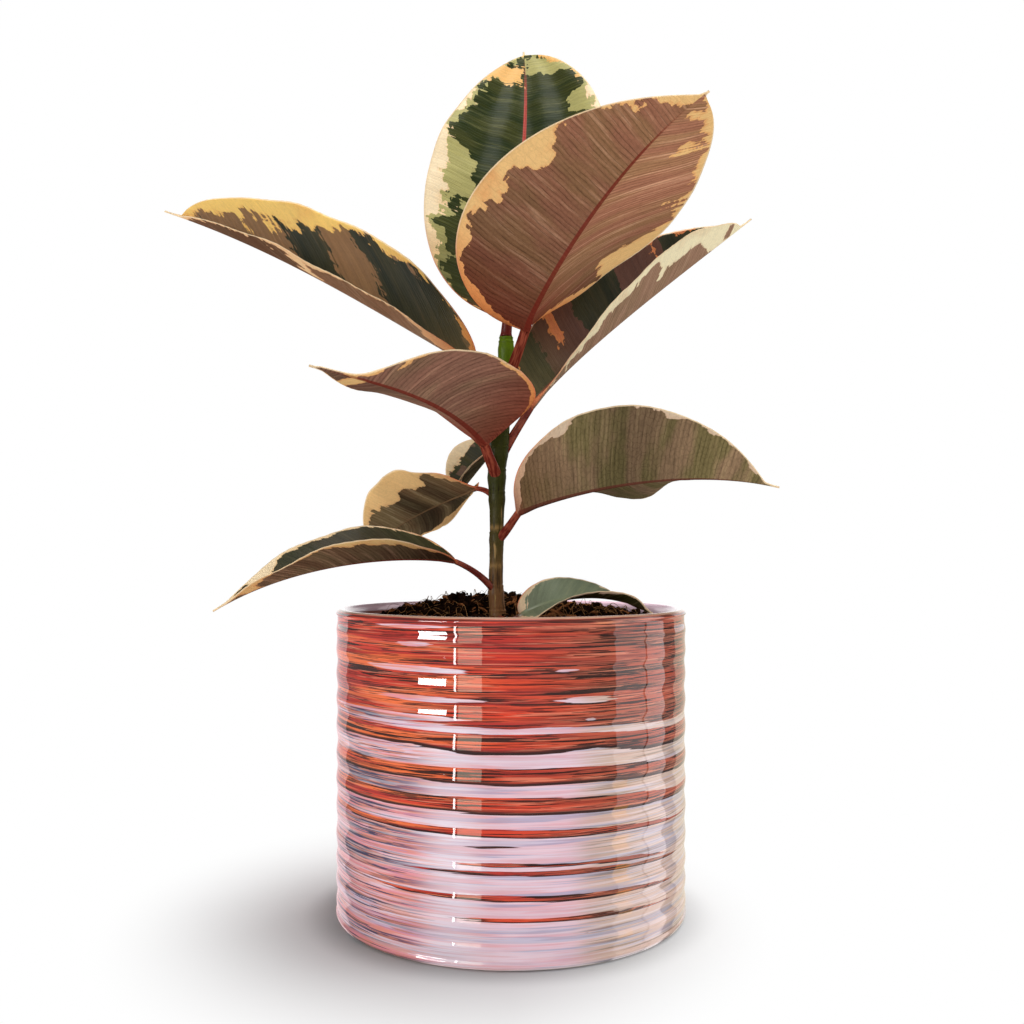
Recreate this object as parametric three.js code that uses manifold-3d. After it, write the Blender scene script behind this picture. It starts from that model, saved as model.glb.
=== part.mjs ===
// Potted variegated rubber plant: a ribbed glazed pot, potting soil, one stem with its
// closed bud, and ten leaves. Millimetres, +Z up. The origin is the centre of the pot's
// underside, and the side of the plant with its front leaf faces -Y.
import * as THREE from 'three';
import Module from 'manifold-3d';

const wasm = await Module();
wasm.setup();

// Clearance between pieces that touch on the real plant
const GAP = 0.3;

// Pot
const POT_RADIUS = 70;
const POT_HEIGHT = 121.5;
const POT_WALL = 4;
const POT_FLOOR = 7;
const POT_FOOT_ROUND = 2.5;
const RIB_DEPTH = 0.5;
const POT_SIDES = 44;
const LIP_ROUND = POT_WALL / 2;
const LIP_STEPS = 4;
const POT_BORE = POT_RADIUS - POT_WALL;

// Heights of the grooves between the pot's hand-thrown ribs
const POT_GROOVES = [3, 11, 19.6, 27.7, 38.8, 49.8, 59.6, 69.8, 81.2, 91, 101.5, 110, 116.6];

// Soil: its level at the wall, the flat strip along the wall, and the mound behind the stem
const SOIL_LEVEL = 112.5;
const SOIL_EDGE = 8;
const MOUND_HEIGHT = 12.5;
const MOUND_X = -13;
const MOUND_Y = 26;
const MOUND_LENGTH = 36;
const MOUND_WIDTH = 22;
const SOIL_RINGS = 8;
const SOIL_SIDES = 36;

// Lumps of the soil, as waves: [height, radians per mm along X, the same along Y, phase]
const LUMPS = [
  [0.45, 0.31, 0.27, 1.3],
  [0.45, 0.31, -0.27, 2.1],
  [0.54, 0.22, 0.53, 0],
];

// Stem: its centre line in the plane y = 0, bottom to top, as [x, z, radius]
const STEM_LINE = [
  [-5.3, 94, 3.3],
  [-5.3, 117.5, 3.3],
  [-6.1, 128, 3.0],
  [-5.9, 145, 2.8],
  [-5.7, 160, 3.0],
  [-5.7, 176, 3.6],
  [-4.7, 187, 3.7],
  [-3.2, 206, 3.3],
  [-2.1, 224, 3.1],
  [-2.0, 231, 2.8],
];
const STEM_SIDES = 12;
const STEM_STEPS = 30;
const NODE_SWELL = 0.35;
const NODE_LENGTH = 2.2;

// Closed bud at the top of the stem
const BUD_LENGTH = 28;
const BUD_RADIUS = 2.3;
const BUD_TIP_RADIUS = 0.35;
const BUD_LEAN = new THREE.Vector3(0.6, -0.8, 10).normalize();
const BUD_SIDES = 10;
const BUD_STEPS = 7;

// Leaves: thickness of the blade, how far the midrib stands out below it as a share of the
// stalk's roundness, the share of the length in which it opens out of the round stalk, the
// half width of the drip tip and the share of the length that it stays clear of, the shares
// in which the ripples rise from the base and die out to the tip, and how finely each leaf
// is divided
const BLADE_THICKNESS = 0.8;
const MIDRIB_SHARE = 0.55;
const BASE_SHARE = 0.08;
const TIP_HALF_WIDTH = 0.9;
const TIP_END_HALF_WIDTH = 0.45;
const TIP_FROM = 0.5;
const RIPPLE_RISE = 1 / 6;
const RIPPLE_FALL = 1 / 4;
const STALK_FLARE = 0.4;
const STALK_STEPS = 4;
const BLADE_STEPS = 16;
const HALF_COLUMNS = 4;
const COLUMN_SPACING = 1.4;

// Each leaf: stalk and midrib are the four points of a Bezier curve, thick is the stalk's
// radius; face is the way the upper side looks, and twist turns it along the leaf, in
// degrees. wide is half the blade's greatest width, widest the share of the length where it
// lies, full and point how round the blade is near its base and its tip, and tip the share
// of the length that is drip tip. r and l are the two halves of the blade, right and left of
// the midrib seen from above with the tip ahead, and what they state stands instead of the
// leaf's own value. fold lifts a half off flat, at even steps from the base to the tip, curl
// bends it upwards, and wave is [height, count, phase] of the ripples along its margin.
const LEAVES = [
  {
    name: 'leaf_back_top',
    stalk: [[-2, 0, 226], [-2, 4, 229.5], [-2, 7, 233.5], [-1.5, 9, 240]],
    midrib: [[-1.5, 9, 240], [1.5, 26, 277.5], [9, 42, 333.5], [6, 72, 379]],
    thick: 1.8,
    face: [0, -1, 0.3],
    wide: 42, widest: 0.38, full: 0.55, point: 0.45, tip: 0.02,
    r: { fold: [14, 14, 5], curl: 12, widest: 0.36, point: 0.7 },
    l: { fold: [14, 14, 5], curl: 12, widest: 0.42 },
  },
  {
    name: 'leaf_front_top',
    stalk: [[-3, 0, 210.5], [-0.5, -3, 215], [2.5, -7, 222.5], [5.7, -13, 231.5]],
    midrib: [[5.7, -13, 231.5], [10, -34, 239], [34.5, -50, 283], [71, -52, 309]],
    thick: 1.9,
    face: [-0.25, 1, 0.15],
    wide: 42, widest: 0.42, full: 0.55, point: 0.5, tip: 0.02,
    r: { fold: [33, 39, 15, -19], curl: 10, wide: 34.5, widest: 0.43, full: 0.8, point: 0.45 },
    l: { fold: [12, 12, 4], curl: 14, widest: 0.31, full: 0.72, point: 0.97 },
  },
  {
    name: 'leaf_right_upper',
    stalk: [[-3.5, 0, 183], [-0.5, 1, 189.5], [3.5, 3, 195.5], [8, 5, 203]],
    midrib: [[8, 5, 203], [29, 14, 228.5], [62, 30, 255], [107, 44, 292]],
    thick: 1.5,
    face: [-0.3, -0.47, 1],
    wide: 28, widest: 0.42, full: 0.55, point: 0.7, tip: 0.05,
    r: { fold: [45, 45, 45], curl: 10 },
    l: { fold: [46, 46, 46], curl: 10, wide: 25.5, widest: 0.6 },
  },
  {
    name: 'leaf_left_upper',
    stalk: [[-3, 0, 206.5], [-5.5, 3, 212.5], [-9.5, 5, 217], [-15, 6, 220.5]],
    midrib: [[-15, 6, 220.5], [-46, 8, 237.5], [-92.5, 14, 269], [-146, 18, 287.5]],
    thick: 1.7,
    face: [0.35, -0.73, 1],
    wide: 28.5, widest: 0.47, full: 0.55, point: 0.7, tip: 0.05,
    r: { fold: [35, 33, 33], curl: 8, wide: 25 },
    l: { fold: [42, 44, 44], curl: 8, wide: 27.2, widest: 0.5, point: 0.5 },
  },
  {
    name: 'leaf_left_front',
    stalk: [[-5.5, 0, 174], [-7, -5, 177.5], [-9, -8, 182], [-10.5, -10, 186.5]],
    midrib: [[-10.5, -10, 186.5], [-25, -30, 202.5], [-47, -52, 204], [-70.5, -62, 209]],
    thick: 2,
    face: [0.3, 0.84, 1],
    wide: 28, widest: 0.25, full: 0.5, point: 0.9, tip: 0.05,
    r: { fold: [30, 50, 70], curl: 10, wide: 30, widest: 0.12, point: 2.5 },
    l: { fold: [34, 25, 5], curl: 10 },
  },
  {
    name: 'leaf_right_middle',
    stalk: [[-5.5, 0, 148.5], [-2, -3, 152], [0.5, -6, 156], [3, -8, 159.5]],
    midrib: [[3, -8, 159.5], [31, -14, 170.5], [73, -20, 176.5], [102.5, -26, 168.5]],
    thick: 1.5,
    face: [0, 0.8, 1],
    wide: 31, widest: 0.43, full: 0.55, point: 0.9, tip: 0.05,
    r: { fold: [40, 40, 30], curl: 8, wave: [3, 1.6, 0.08] },
    l: { fold: [36, 36, 30], curl: 8 },
  },
  {
    name: 'leaf_left_low',
    stalk: [[-6, 0, 127], [-9.5, -3, 132.5], [-15, -5, 137], [-22, -7, 140]],
    midrib: [[-22, -7, 140], [-45, -17, 143.5], [-83.5, -30, 139.5], [-110, -40, 122]],
    thick: 1.1,
    face: [0, -0.09, 1],
    wide: 18, widest: 0.42, full: 0.75, point: 0.9, tip: 0.05,
    r: { fold: [34, 32, 10], curl: 6, wide: 16.5, widest: 0.5 },
    l: { fold: [40, 40, 20], curl: 6 },
  },
  {
    name: 'leaf_back_left',
    stalk: [[-5.5, 0, 165], [-9.5, 3, 169], [-11, 5, 169.5], [-14, 7, 170]],
    midrib: [[-14, 7, 170], [-23.5, 20, 166.5], [-41, 38, 163], [-65, 50, 145.5]],
    thick: 1,
    face: [-0.3, 0.9, 0.4],
    wide: 24.5, widest: 0.5, full: 0.55, point: 0.6, tip: 0.04,
    r: { fold: [-5, -5, 5], curl: 10, wave: [1.5, 3, 0] },
    l: { fold: [60, 36, 20], curl: 10, widest: 0.62, wave: [1.5, 3, 0] },
  },
  {
    name: 'leaf_behind_stem',
    stalk: [[-4.5, 0, 187.5], [-4, 4, 191], [-5, 8, 190.5], [-6, 12, 187.5]],
    midrib: [[-6, 12, 187.5], [-10, 24, 183.5], [-14.5, 36, 177.5], [-18.5, 44, 172.5]],
    thick: 1.1,
    face: [0, -1, 0.3],
    wide: 16.5, widest: 0.66, full: 0.65, point: 0.5, tip: 0.04,
    r: { fold: [65, 65, 60], curl: 10 },
    l: { fold: [10, 10, 10], curl: 10, wide: 13.4, widest: 0.77 },
  },
  {
    name: 'leaf_on_soil',
    stalk: [[-5.5, 0, 117], [-1.5, -12, 116.5], [1, -20, 117], [3.5, -26, 119.5]],
    midrib: [[3.5, -26, 119.5], [14.5, -30, 127], [36, -36, 131], [53.5, -30, 120.5]],
    thick: 1,
    face: [0, -0.2, 1],
    twist: -95,
    wide: 12, widest: 0.4, full: 0.55, point: 0.9, tip: 0.05,
    r: { fold: [15, 15, 15], curl: 10 },
    l: { fold: [15, 15, 15], curl: 10 },
  },
];

const glaze = new THREE.MeshStandardMaterial({ color: 0xc0543a, roughness: 0.18, metalness: 0 });
const earth = new THREE.MeshStandardMaterial({ color: 0x2e2018, roughness: 0.95, metalness: 0 });
const bark = new THREE.MeshStandardMaterial({ color: 0x4a4a24, roughness: 0.6, metalness: 0 });
const sheath = new THREE.MeshStandardMaterial({ color: 0x6e2c22, roughness: 0.45, metalness: 0 });
const foliage = new THREE.MeshStandardMaterial({ color: 0x47553a, roughness: 0.35, metalness: 0 });

const clamp01 = (value) => Math.min(1, Math.max(0, value));
const smooth = (value) => THREE.MathUtils.smoothstep(value, 0, 1);

// Value of a list of evenly spaced values at share t of the way along it
function along(values, t) {
  const place = clamp01(t) * (values.length - 1);
  const i = Math.min(values.length - 2, Math.floor(place));
  return THREE.MathUtils.lerp(values[i], values[i + 1], place - i);
}

// Closed solid through rings of points. Each ring holds its upper points in order and then
// its lower points in the reverse order, and the strips over and under it are split alike.
function loft(rings) {
  const count = rings[0].length;
  const half = count / 2;
  const position = rings.flat().flatMap((p) => [p.x, p.y, p.z]);
  const index = [];
  const quad = (a, b, c, d, flip) => {
    if (flip) index.push(a, b, d, b, c, d);
    else index.push(a, b, c, a, c, d);
  };
  for (let i = 0; i + 1 < rings.length; i += 1) {
    for (let j = 0; j < count; j += 1) {
      const next = (j + 1) % count;
      const low = i * count;
      const high = low + count;
      quad(low + j, low + next, high + next, high + j, j >= half);
    }
  }
  const last = (rings.length - 1) * count;
  for (let j = 0; j + 1 < half; j += 1) {
    const under = count - 1 - j;
    quad(j, under, under - 1, j + 1, false);
    quad(last + j, last + j + 1, last + under - 1, last + under, false);
  }
  return outward(position, index);
}

// Geometry whose faces point out, whichever way round its rings were listed
function outward(position, index) {
  const corner = (i) => new THREE.Vector3().fromArray(position, index[i] * 3);
  let volume = 0;
  for (let i = 0; i < index.length; i += 3) {
    volume += corner(i).dot(corner(i + 1).cross(corner(i + 2)));
  }
  if (volume < 0) index.reverse();
  const geometry = new THREE.BufferGeometry();
  geometry.setAttribute('position', new THREE.Float32BufferAttribute(position, 3));
  geometry.setIndex(index);
  return geometry;
}

function toSolid(geometry) {
  const vertProperties = Float32Array.from(geometry.getAttribute('position').array);
  const triVerts = Uint32Array.from(geometry.getIndex().array);
  return new wasm.Manifold(new wasm.Mesh({ numProp: 3, vertProperties, triVerts }));
}

function toGeometry(solid) {
  const mesh = solid.getMesh();
  const geometry = new THREE.BufferGeometry();
  geometry.setAttribute('position', new THREE.Float32BufferAttribute(mesh.vertProperties, 3));
  geometry.setIndex(new THREE.Uint32BufferAttribute(mesh.triVerts, 1));
  return geometry;
}

// The geometry without what lies inside the cutter
function cut(geometry, cutter) {
  return toGeometry(toSolid(geometry).subtract(toSolid(cutter)));
}

// Ring of points round a centre, from -side over up to +side and back under
function roundRing(centre, side, up, radius, count) {
  const ring = [];
  for (let j = 0; j < count; j += 1) {
    const upper = j < count / 2;
    const step = upper ? j : count - 1 - j;
    const angle = Math.PI * (1 - (step + 0.5) / (count / 2)) * (upper ? 1 : -1);
    ring.push(centre.clone()
      .addScaledVector(side, radius * Math.cos(angle))
      .addScaledVector(up, radius * Math.sin(angle)));
  }
  return ring;
}

// Pot: outside with soft ribs, rounded lip, plain inside, flat underside
function potGeometry() {
  const profile = [new THREE.Vector2(0, 0), new THREE.Vector2(POT_RADIUS - POT_FOOT_ROUND, 0)];
  const lipFoot = POT_HEIGHT - LIP_ROUND;
  POT_GROOVES.forEach((height, i) => {
    profile.push(new THREE.Vector2(POT_RADIUS - RIB_DEPTH, height));
    const next = POT_GROOVES[i + 1];
    if (next) profile.push(new THREE.Vector2(POT_RADIUS, (height + next) / 2));
  });
  const lipCentre = POT_RADIUS - LIP_ROUND;
  for (let i = 0; i <= LIP_STEPS; i += 1) {
    const turn = Math.PI * i / LIP_STEPS;
    profile.push(new THREE.Vector2(
      lipCentre + LIP_ROUND * Math.cos(turn),
      lipFoot + LIP_ROUND * Math.sin(turn),
    ));
  }
  profile.push(new THREE.Vector2(POT_BORE, POT_FLOOR), new THREE.Vector2(0, POT_FLOOR));
  const geometry = new THREE.LatheGeometry(profile, POT_SIDES);
  geometry.rotateX(Math.PI / 2);
  return geometry;
}

// Height of the soil: level near the wall, a mound behind the stem, and low lumps
function soilHeight(x, y) {
  const off = Math.hypot((x - MOUND_X) / MOUND_LENGTH, (y - MOUND_Y) / MOUND_WIDTH);
  const mound = MOUND_HEIGHT * Math.exp(-off * off);
  const edge = smooth((POT_BORE - Math.hypot(x, y)) / SOIL_EDGE);
  const lumps = LUMPS.reduce(
    (sum, [height, alongX, alongY, phase]) => sum + height * Math.sin(alongX * x + alongY * y + phase),
    0);
  return SOIL_LEVEL + (mound + lumps) * edge;
}

// Soil: a plug that fills the pot, its top a ring grid raised by soilHeight, with a plain
// hole in which the stem stands
function soilGeometry(stemCutter) {
  const radius = POT_BORE - GAP;
  const bottom = POT_FLOOR + GAP;
  const position = [0, 0, bottom, 0, 0, soilHeight(0, 0)];
  const index = [];
  const ringStart = (ring) => 2 + ring * SOIL_SIDES;
  for (let ring = 0; ring <= SOIL_RINGS; ring += 1) {
    const onTop = ring < SOIL_RINGS;
    const r = radius * (onTop ? (ring + 1) / SOIL_RINGS : 1);
    for (let j = 0; j < SOIL_SIDES; j += 1) {
      const angle = 2 * Math.PI * j / SOIL_SIDES;
      const x = r * Math.cos(angle);
      const y = r * Math.sin(angle);
      position.push(x, y, onTop ? soilHeight(x, y) : bottom);
    }
  }
  for (let j = 0; j < SOIL_SIDES; j += 1) {
    const next = (j + 1) % SOIL_SIDES;
    index.push(1, ringStart(0) + j, ringStart(0) + next);
    index.push(0, ringStart(SOIL_RINGS) + next, ringStart(SOIL_RINGS) + j);
    for (let ring = 0; ring < SOIL_RINGS; ring += 1) {
      const a = ringStart(ring) + j;
      const b = ringStart(ring) + next;
      const c = ringStart(ring + 1) + next;
      const d = ringStart(ring + 1) + j;
      index.push(a, d, c, a, c, b);
    }
  }
  return cut(outward(position, index), stemCutter);
}

// Stem: a tapering tube that swells a little where each leaf leaves it. grow makes it
// thicker and longer all round, as the cutter of what is seated on it.
function stemGeometry(grow) {
  const line = new THREE.CatmullRomCurve3(
    STEM_LINE.map(([x, z]) => new THREE.Vector3(x, 0, z)), false, 'centripetal');
  const nodeHeights = LEAVES.map((leaf) => leaf.stalk[0][2]);
  const rings = [];
  for (let i = 0; i <= STEM_STEPS; i += 1) {
    const t = i / STEM_STEPS;
    const centre = line.getPoint(t);
    const tangent = line.getTangent(t);
    const up = new THREE.Vector3(0, 1, 0);
    const side = new THREE.Vector3().crossVectors(up, tangent).normalize();
    const swell = nodeHeights.reduce(
      (sum, z) => Math.max(sum, Math.exp(-(((centre.z - z) / NODE_LENGTH) ** 2))), 0);
    const radius = along(STEM_LINE.map((point) => point[2]), t) + NODE_SWELL * swell + grow;
    if (i === 0) centre.addScaledVector(tangent, -grow);
    if (i === STEM_STEPS) centre.addScaledVector(tangent, grow);
    rings.push(roundRing(centre, side, up, radius, STEM_SIDES));
  }
  return loft(rings);
}

// Bud: a slim cone rolled shut round the next leaf, on the top end of the stem
function budGeometry() {
  const [topX, topZ] = STEM_LINE[STEM_LINE.length - 1];
  const foot = new THREE.Vector3(topX, 0, topZ + GAP);
  const side = new THREE.Vector3(1, 0, 0);
  const up = new THREE.Vector3(0, 1, 0);
  const rings = [];
  for (let i = 0; i <= BUD_STEPS; i += 1) {
    const t = i / BUD_STEPS;
    const radius = Math.max(BUD_TIP_RADIUS, BUD_RADIUS * Math.sqrt(1 - t));
    const centre = foot.clone().addScaledVector(BUD_LEAN, BUD_LENGTH * t);
    rings.push(roundRing(centre, side, up, radius, BUD_SIDES));
  }
  return loft(rings);
}

// Half the blade's width at share t of its length: the stalk's radius at the base, the
// oval of the blade, and the narrow drip tip
function halfWidth(half, t) {
  const power = Math.log(0.5) / Math.log(half.widest);
  const x = clamp01(t / (1 - half.tip));
  const roundness = half.full + (half.point - half.full) * x * x;
  const body = half.wide * Math.max(0, Math.sin(Math.PI * x ** power)) ** roundness;
  const stalk = half.thick * (1 - smooth(t / BASE_SHARE));
  const tip = t > TIP_FROM ? TIP_HALF_WIDTH * clamp01((1 - t) / half.tip) : 0;
  return Math.max(TIP_END_HALF_WIDTH, Math.hypot(body, stalk, tip));
}

// Points along the stalk and the midrib, with the frame of the leaf at each: tangent,
// up (the way the upper face looks) and side (the right-hand half). t runs from -1 at the
// stem to 0 where the blade starts and 1 at the tip.
function leafStations(leaf) {
  const curve = (points) => new THREE.CubicBezierCurve3(
    ...points.map((point) => new THREE.Vector3(...point)));
  const stalk = curve(leaf.stalk);
  const midrib = curve(leaf.midrib);
  const stations = [];
  for (let i = 0; i < STALK_STEPS; i += 1) {
    stations.push({ at: stalk.getPointAt(i / STALK_STEPS), t: i / STALK_STEPS - 1 });
  }
  for (let i = 0; i <= BLADE_STEPS; i += 1) {
    const t = 0.5 - 0.5 * Math.cos(Math.PI * i / BLADE_STEPS);
    stations.push({ at: midrib.getPointAt(t), t });
  }
  const face = new THREE.Vector3(...leaf.face);
  stations.forEach((station, i) => {
    const before = stations[Math.max(0, i - 1)].at;
    const after = stations[Math.min(stations.length - 1, i + 1)].at;
    const tangent = new THREE.Vector3().subVectors(after, before).normalize();
    const turn = THREE.MathUtils.degToRad(leaf.twist ?? 0) * (clamp01(station.t) - 0.5);
    station.up = face.clone().projectOnPlane(tangent).normalize().applyAxisAngle(tangent, turn);
    station.side = new THREE.Vector3().crossVectors(station.up, tangent);
  });
  return stations;
}

// Upper and lower point of the leaf at one station and share q across it, q from -1 at the
// left margin to 1 at the right one. On the stalk the section is round, and it opens into
// the folded blade, which keeps the lower half of the roundness as its midrib.
function bladePoints(leaf, station, q) {
  const t = clamp01(station.t);
  const half = { ...leaf, ...(q < 0 ? leaf.l : leaf.r) };
  const sign = q < 0 ? -1 : 1;
  const onBlade = t > 0;
  const open = smooth(t / BASE_SHARE);
  const radius = leaf.thick + STALK_FLARE * smooth(-station.t);
  const width = Math.max(halfWidth(half, t), (1 - open) * radius);
  const across = onBlade ? Math.abs(q) : Math.sin(Math.PI / 2 * Math.abs(q));
  const lift = onBlade ? THREE.MathUtils.degToRad(along(half.fold, t)) : 0;
  const curl = onBlade ? THREE.MathUtils.degToRad(half.curl) : 0;
  const turn = lift + curl * across;
  const bend = (lift + turn) / 2;
  const [height, count, phase] = half.wave ?? [0, 0, 0];
  const ripple = height * across * across * Math.sin(2 * Math.PI * (count * t + phase));
  const fade = clamp01((1 - t) / RIPPLE_FALL) * clamp01(t / RIPPLE_RISE);
  const middle = station.at.clone()
    .addScaledVector(station.side, sign * width * across * Math.cos(bend))
    .addScaledVector(station.up, width * across * Math.sin(bend) + ripple * fade);
  const normal = station.up.clone();
  if (q !== 0) {
    normal.multiplyScalar(Math.cos(turn)).addScaledVector(station.side, -sign * Math.sin(turn));
  }
  const skin = BLADE_THICKNESS / 2;
  const bulge = Math.max(0, Math.sqrt(Math.max(0, radius ** 2 - (width * across) ** 2)) - skin);
  const rib = THREE.MathUtils.lerp(1, MIDRIB_SHARE, open) * (1 - t);
  return {
    upper: middle.clone().addScaledVector(normal, skin + bulge * (1 - open)),
    lower: middle.clone().addScaledVector(normal, -skin - bulge * rib),
  };
}

// Leaf: one solid from the round stalk to the flat blade, seated on the stem
function leafGeometry(leaf, stemCutter) {
  const rings = leafStations(leaf).map((station) => {
    const upper = [];
    const lower = [];
    for (let j = -HALF_COLUMNS; j <= HALF_COLUMNS; j += 1) {
      const q = Math.sign(j) * (Math.abs(j) / HALF_COLUMNS) ** COLUMN_SPACING;
      const points = bladePoints(leaf, station, q);
      upper.push(points.upper);
      lower.unshift(points.lower);
    }
    return upper.concat(lower);
  });
  return cut(loft(rings), stemCutter);
}

function piece(name, geometry, material) {
  const mesh = new THREE.Mesh(geometry, material);
  mesh.name = name;
  return mesh;
}

const stemCutter = stemGeometry(GAP);
const plant = new THREE.Group();
plant.add(piece('pot', potGeometry(), glaze));
plant.add(piece('soil', soilGeometry(stemCutter), earth));
plant.add(piece('stem', stemGeometry(0), bark));
plant.add(piece('bud', budGeometry(), sheath));
for (const leaf of LEAVES) {
  plant.add(piece(leaf.name, leafGeometry(leaf, stemCutter), foliage));
}

export default plant;
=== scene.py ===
"""A young variegated rubber plant in a ribbed, lustre-glazed pot.

Lengths are in metres in the settings and in millimetres in the shape functions, and become
metres again when a mesh is made.
The frame is +Z up, with the origin at the centre of the pot's underside.
"""

import math

import bmesh
import bpy
import numpy as np
from bpy.props import FloatProperty, FloatVectorProperty, IntProperty, PointerProperty
from mathutils import Euler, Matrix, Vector, noise


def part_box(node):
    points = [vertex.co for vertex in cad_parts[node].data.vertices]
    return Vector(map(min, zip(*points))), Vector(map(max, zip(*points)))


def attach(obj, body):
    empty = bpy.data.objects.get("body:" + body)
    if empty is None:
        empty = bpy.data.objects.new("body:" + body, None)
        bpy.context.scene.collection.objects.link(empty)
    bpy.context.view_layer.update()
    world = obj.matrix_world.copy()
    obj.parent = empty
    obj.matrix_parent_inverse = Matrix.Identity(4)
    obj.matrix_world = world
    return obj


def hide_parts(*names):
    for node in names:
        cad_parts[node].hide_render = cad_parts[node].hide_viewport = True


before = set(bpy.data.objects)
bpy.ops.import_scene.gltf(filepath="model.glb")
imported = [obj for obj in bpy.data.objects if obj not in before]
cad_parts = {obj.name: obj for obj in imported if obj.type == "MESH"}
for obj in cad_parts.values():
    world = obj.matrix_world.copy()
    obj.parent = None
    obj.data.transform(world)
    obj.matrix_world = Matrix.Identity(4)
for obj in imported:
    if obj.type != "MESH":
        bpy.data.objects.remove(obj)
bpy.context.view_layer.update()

bl_info = {
    "name": "Potted rubber plant",
    "version": (1, 0, 0),
    "blender": (4, 5, 0),
    "location": "View3D > Sidebar > Plant",
    "description": "Makes a variegated rubber plant in a glazed pot, piece by piece",
    "category": "Object",
}

MM = 0.001

POT_LOW, POT_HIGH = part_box("pot")
POT_RADIUS = round(POT_HIGH.x / MM, 2)
POT_HEIGHT = round(POT_HIGH.z / MM, 2)
GROOVES = [3, 11, 19.6, 27.7, 38.8, 49.8, 59.6, 69.8, 81.2, 91, 101.5, 110, 116.6]
GROOVE_DEPTHS = [1, 1, 1, 1, 1, 1, 1, 1, 1, 1, 1, 0.45, 1]


# Colours and small sums


def rgb(red, green, blue):
    """Linear colour of a screen colour given from 0 to 255"""
    def linear(value):
        share = value / 255
        return share / 12.92 if share <= 0.04045 else ((share + 0.055) / 1.055) ** 2.4
    return (linear(red), linear(green), linear(blue), 1.0)


def mm(length):
    """Millimetres of a setting in metres, free of its rounding"""
    return round(length / MM, 4)


def smooth(value):
    value = np.clip(value, 0, 1)
    return value * value * (3 - 2 * value)


def unit(vectors):
    return vectors / np.linalg.norm(vectors, axis=-1, keepdims=True)


def along(values, share):
    """Smooth value of a list of evenly spaced values at a share of the way along it"""
    values = np.asarray(values, float)
    place = np.clip(share, 0, 1) * (len(values) - 1)
    i = np.minimum(len(values) - 2, np.floor(place)).astype(int)
    f = place - i
    here, after = values[i], values[i + 1]
    before = values[np.maximum(i - 1, 0)]
    last = values[np.minimum(i + 2, len(values) - 1)]
    bend = 2 * before - 5 * here + 4 * after - last
    return here + 0.5 * f * (after - before + f * (bend + f * (3 * (here - after) + last - before)))


def steps(values, share):
    """Straight-line value of a list of evenly spaced values"""
    return np.interp(share, np.linspace(0, 1, len(values)), values)


def turned(vectors, axis, angle):
    """Vectors turned round unit axes by angles in radians"""
    cosine, sine = np.cos(angle)[..., None], np.sin(angle)[..., None]
    inward = np.sum(axis * vectors, -1, keepdims=True)
    return vectors * cosine + np.cross(axis, vectors) * sine + axis * inward * (1 - cosine)


def bezier(points, shares):
    """Points at shares of the length of a four-point Bezier curve, and its length"""
    u = np.linspace(0, 1, 400)[:, None]
    a, b, c, d = np.asarray(points, float)
    line = (1 - u) ** 3 * a + 3 * (1 - u) ** 2 * u * b + 3 * (1 - u) * u * u * c + u ** 3 * d
    reach = np.concatenate([[0], np.cumsum(np.linalg.norm(np.diff(line, axis=0), axis=1))])
    at = [np.interp(shares, reach / reach[-1], line[:, k]) for k in range(3)]
    return np.stack(at, -1), reach[-1]


# Meshes


def make_piece(name, points, faces, materials, replaced=None, face_material=None,
               attributes=None, smooth_faces=True):
    """A mesh piece of the plant: points in millimetres, its materials and its place in the frame"""
    mesh = bpy.data.meshes.new(name)
    mesh.from_pydata((np.asarray(points, float) * MM).tolist(), [], faces)
    for material in materials:
        mesh.materials.append(material)
    if face_material is not None:
        mesh.polygons.foreach_set("material_index", np.asarray(face_material, np.int32))
    mesh.polygons.foreach_set("use_smooth", [smooth_faces] * len(mesh.polygons))
    for label, values in (attributes or {}).items():
        layer = mesh.attributes.new(label, "FLOAT_VECTOR", "POINT")
        layer.data.foreach_set("vector", np.asarray(values, np.float32).ravel())
    mesh.validate()
    point_outward(mesh)
    piece = new_object(name, mesh)
    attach(piece, "root")
    if replaced:
        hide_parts(replaced)
    return piece


def point_outward(mesh):
    """Turns all the faces over if they enclose a negative volume"""
    mesh.calc_loop_triangles()
    corners = np.zeros(len(mesh.loop_triangles) * 3, np.int32)
    mesh.loop_triangles.foreach_get("vertices", corners)
    place = np.zeros(len(mesh.vertices) * 3)
    mesh.vertices.foreach_get("co", place)
    a, b, c = place.reshape(-1, 3)[corners.reshape(-1, 3)].transpose(1, 0, 2)
    if np.sum(np.cross(a, b) * c) < 0:
        mesh.flip_normals()


def tube_faces(rings, count):
    """Faces of a closed tube of rings of points, with its two ends"""
    faces = []
    for i in range(rings - 1):
        low, high = i * count, (i + 1) * count
        for j in range(count):
            after = (j + 1) % count
            faces.append((low + j, low + after, high + after, high + j))
    faces.append(tuple(range(count))[::-1])
    faces.append(tuple(range((rings - 1) * count, rings * count)))
    return faces


def waves(points, scale, seed):
    """Smooth noise from -1 to 1 at each point"""
    shift = Vector((seed * 17.3, seed * 5.1, seed * 9.7))
    return np.array([noise.noise(Vector(p) * scale + shift) for p in np.asarray(points).tolist()])


# Shader nodes


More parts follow.
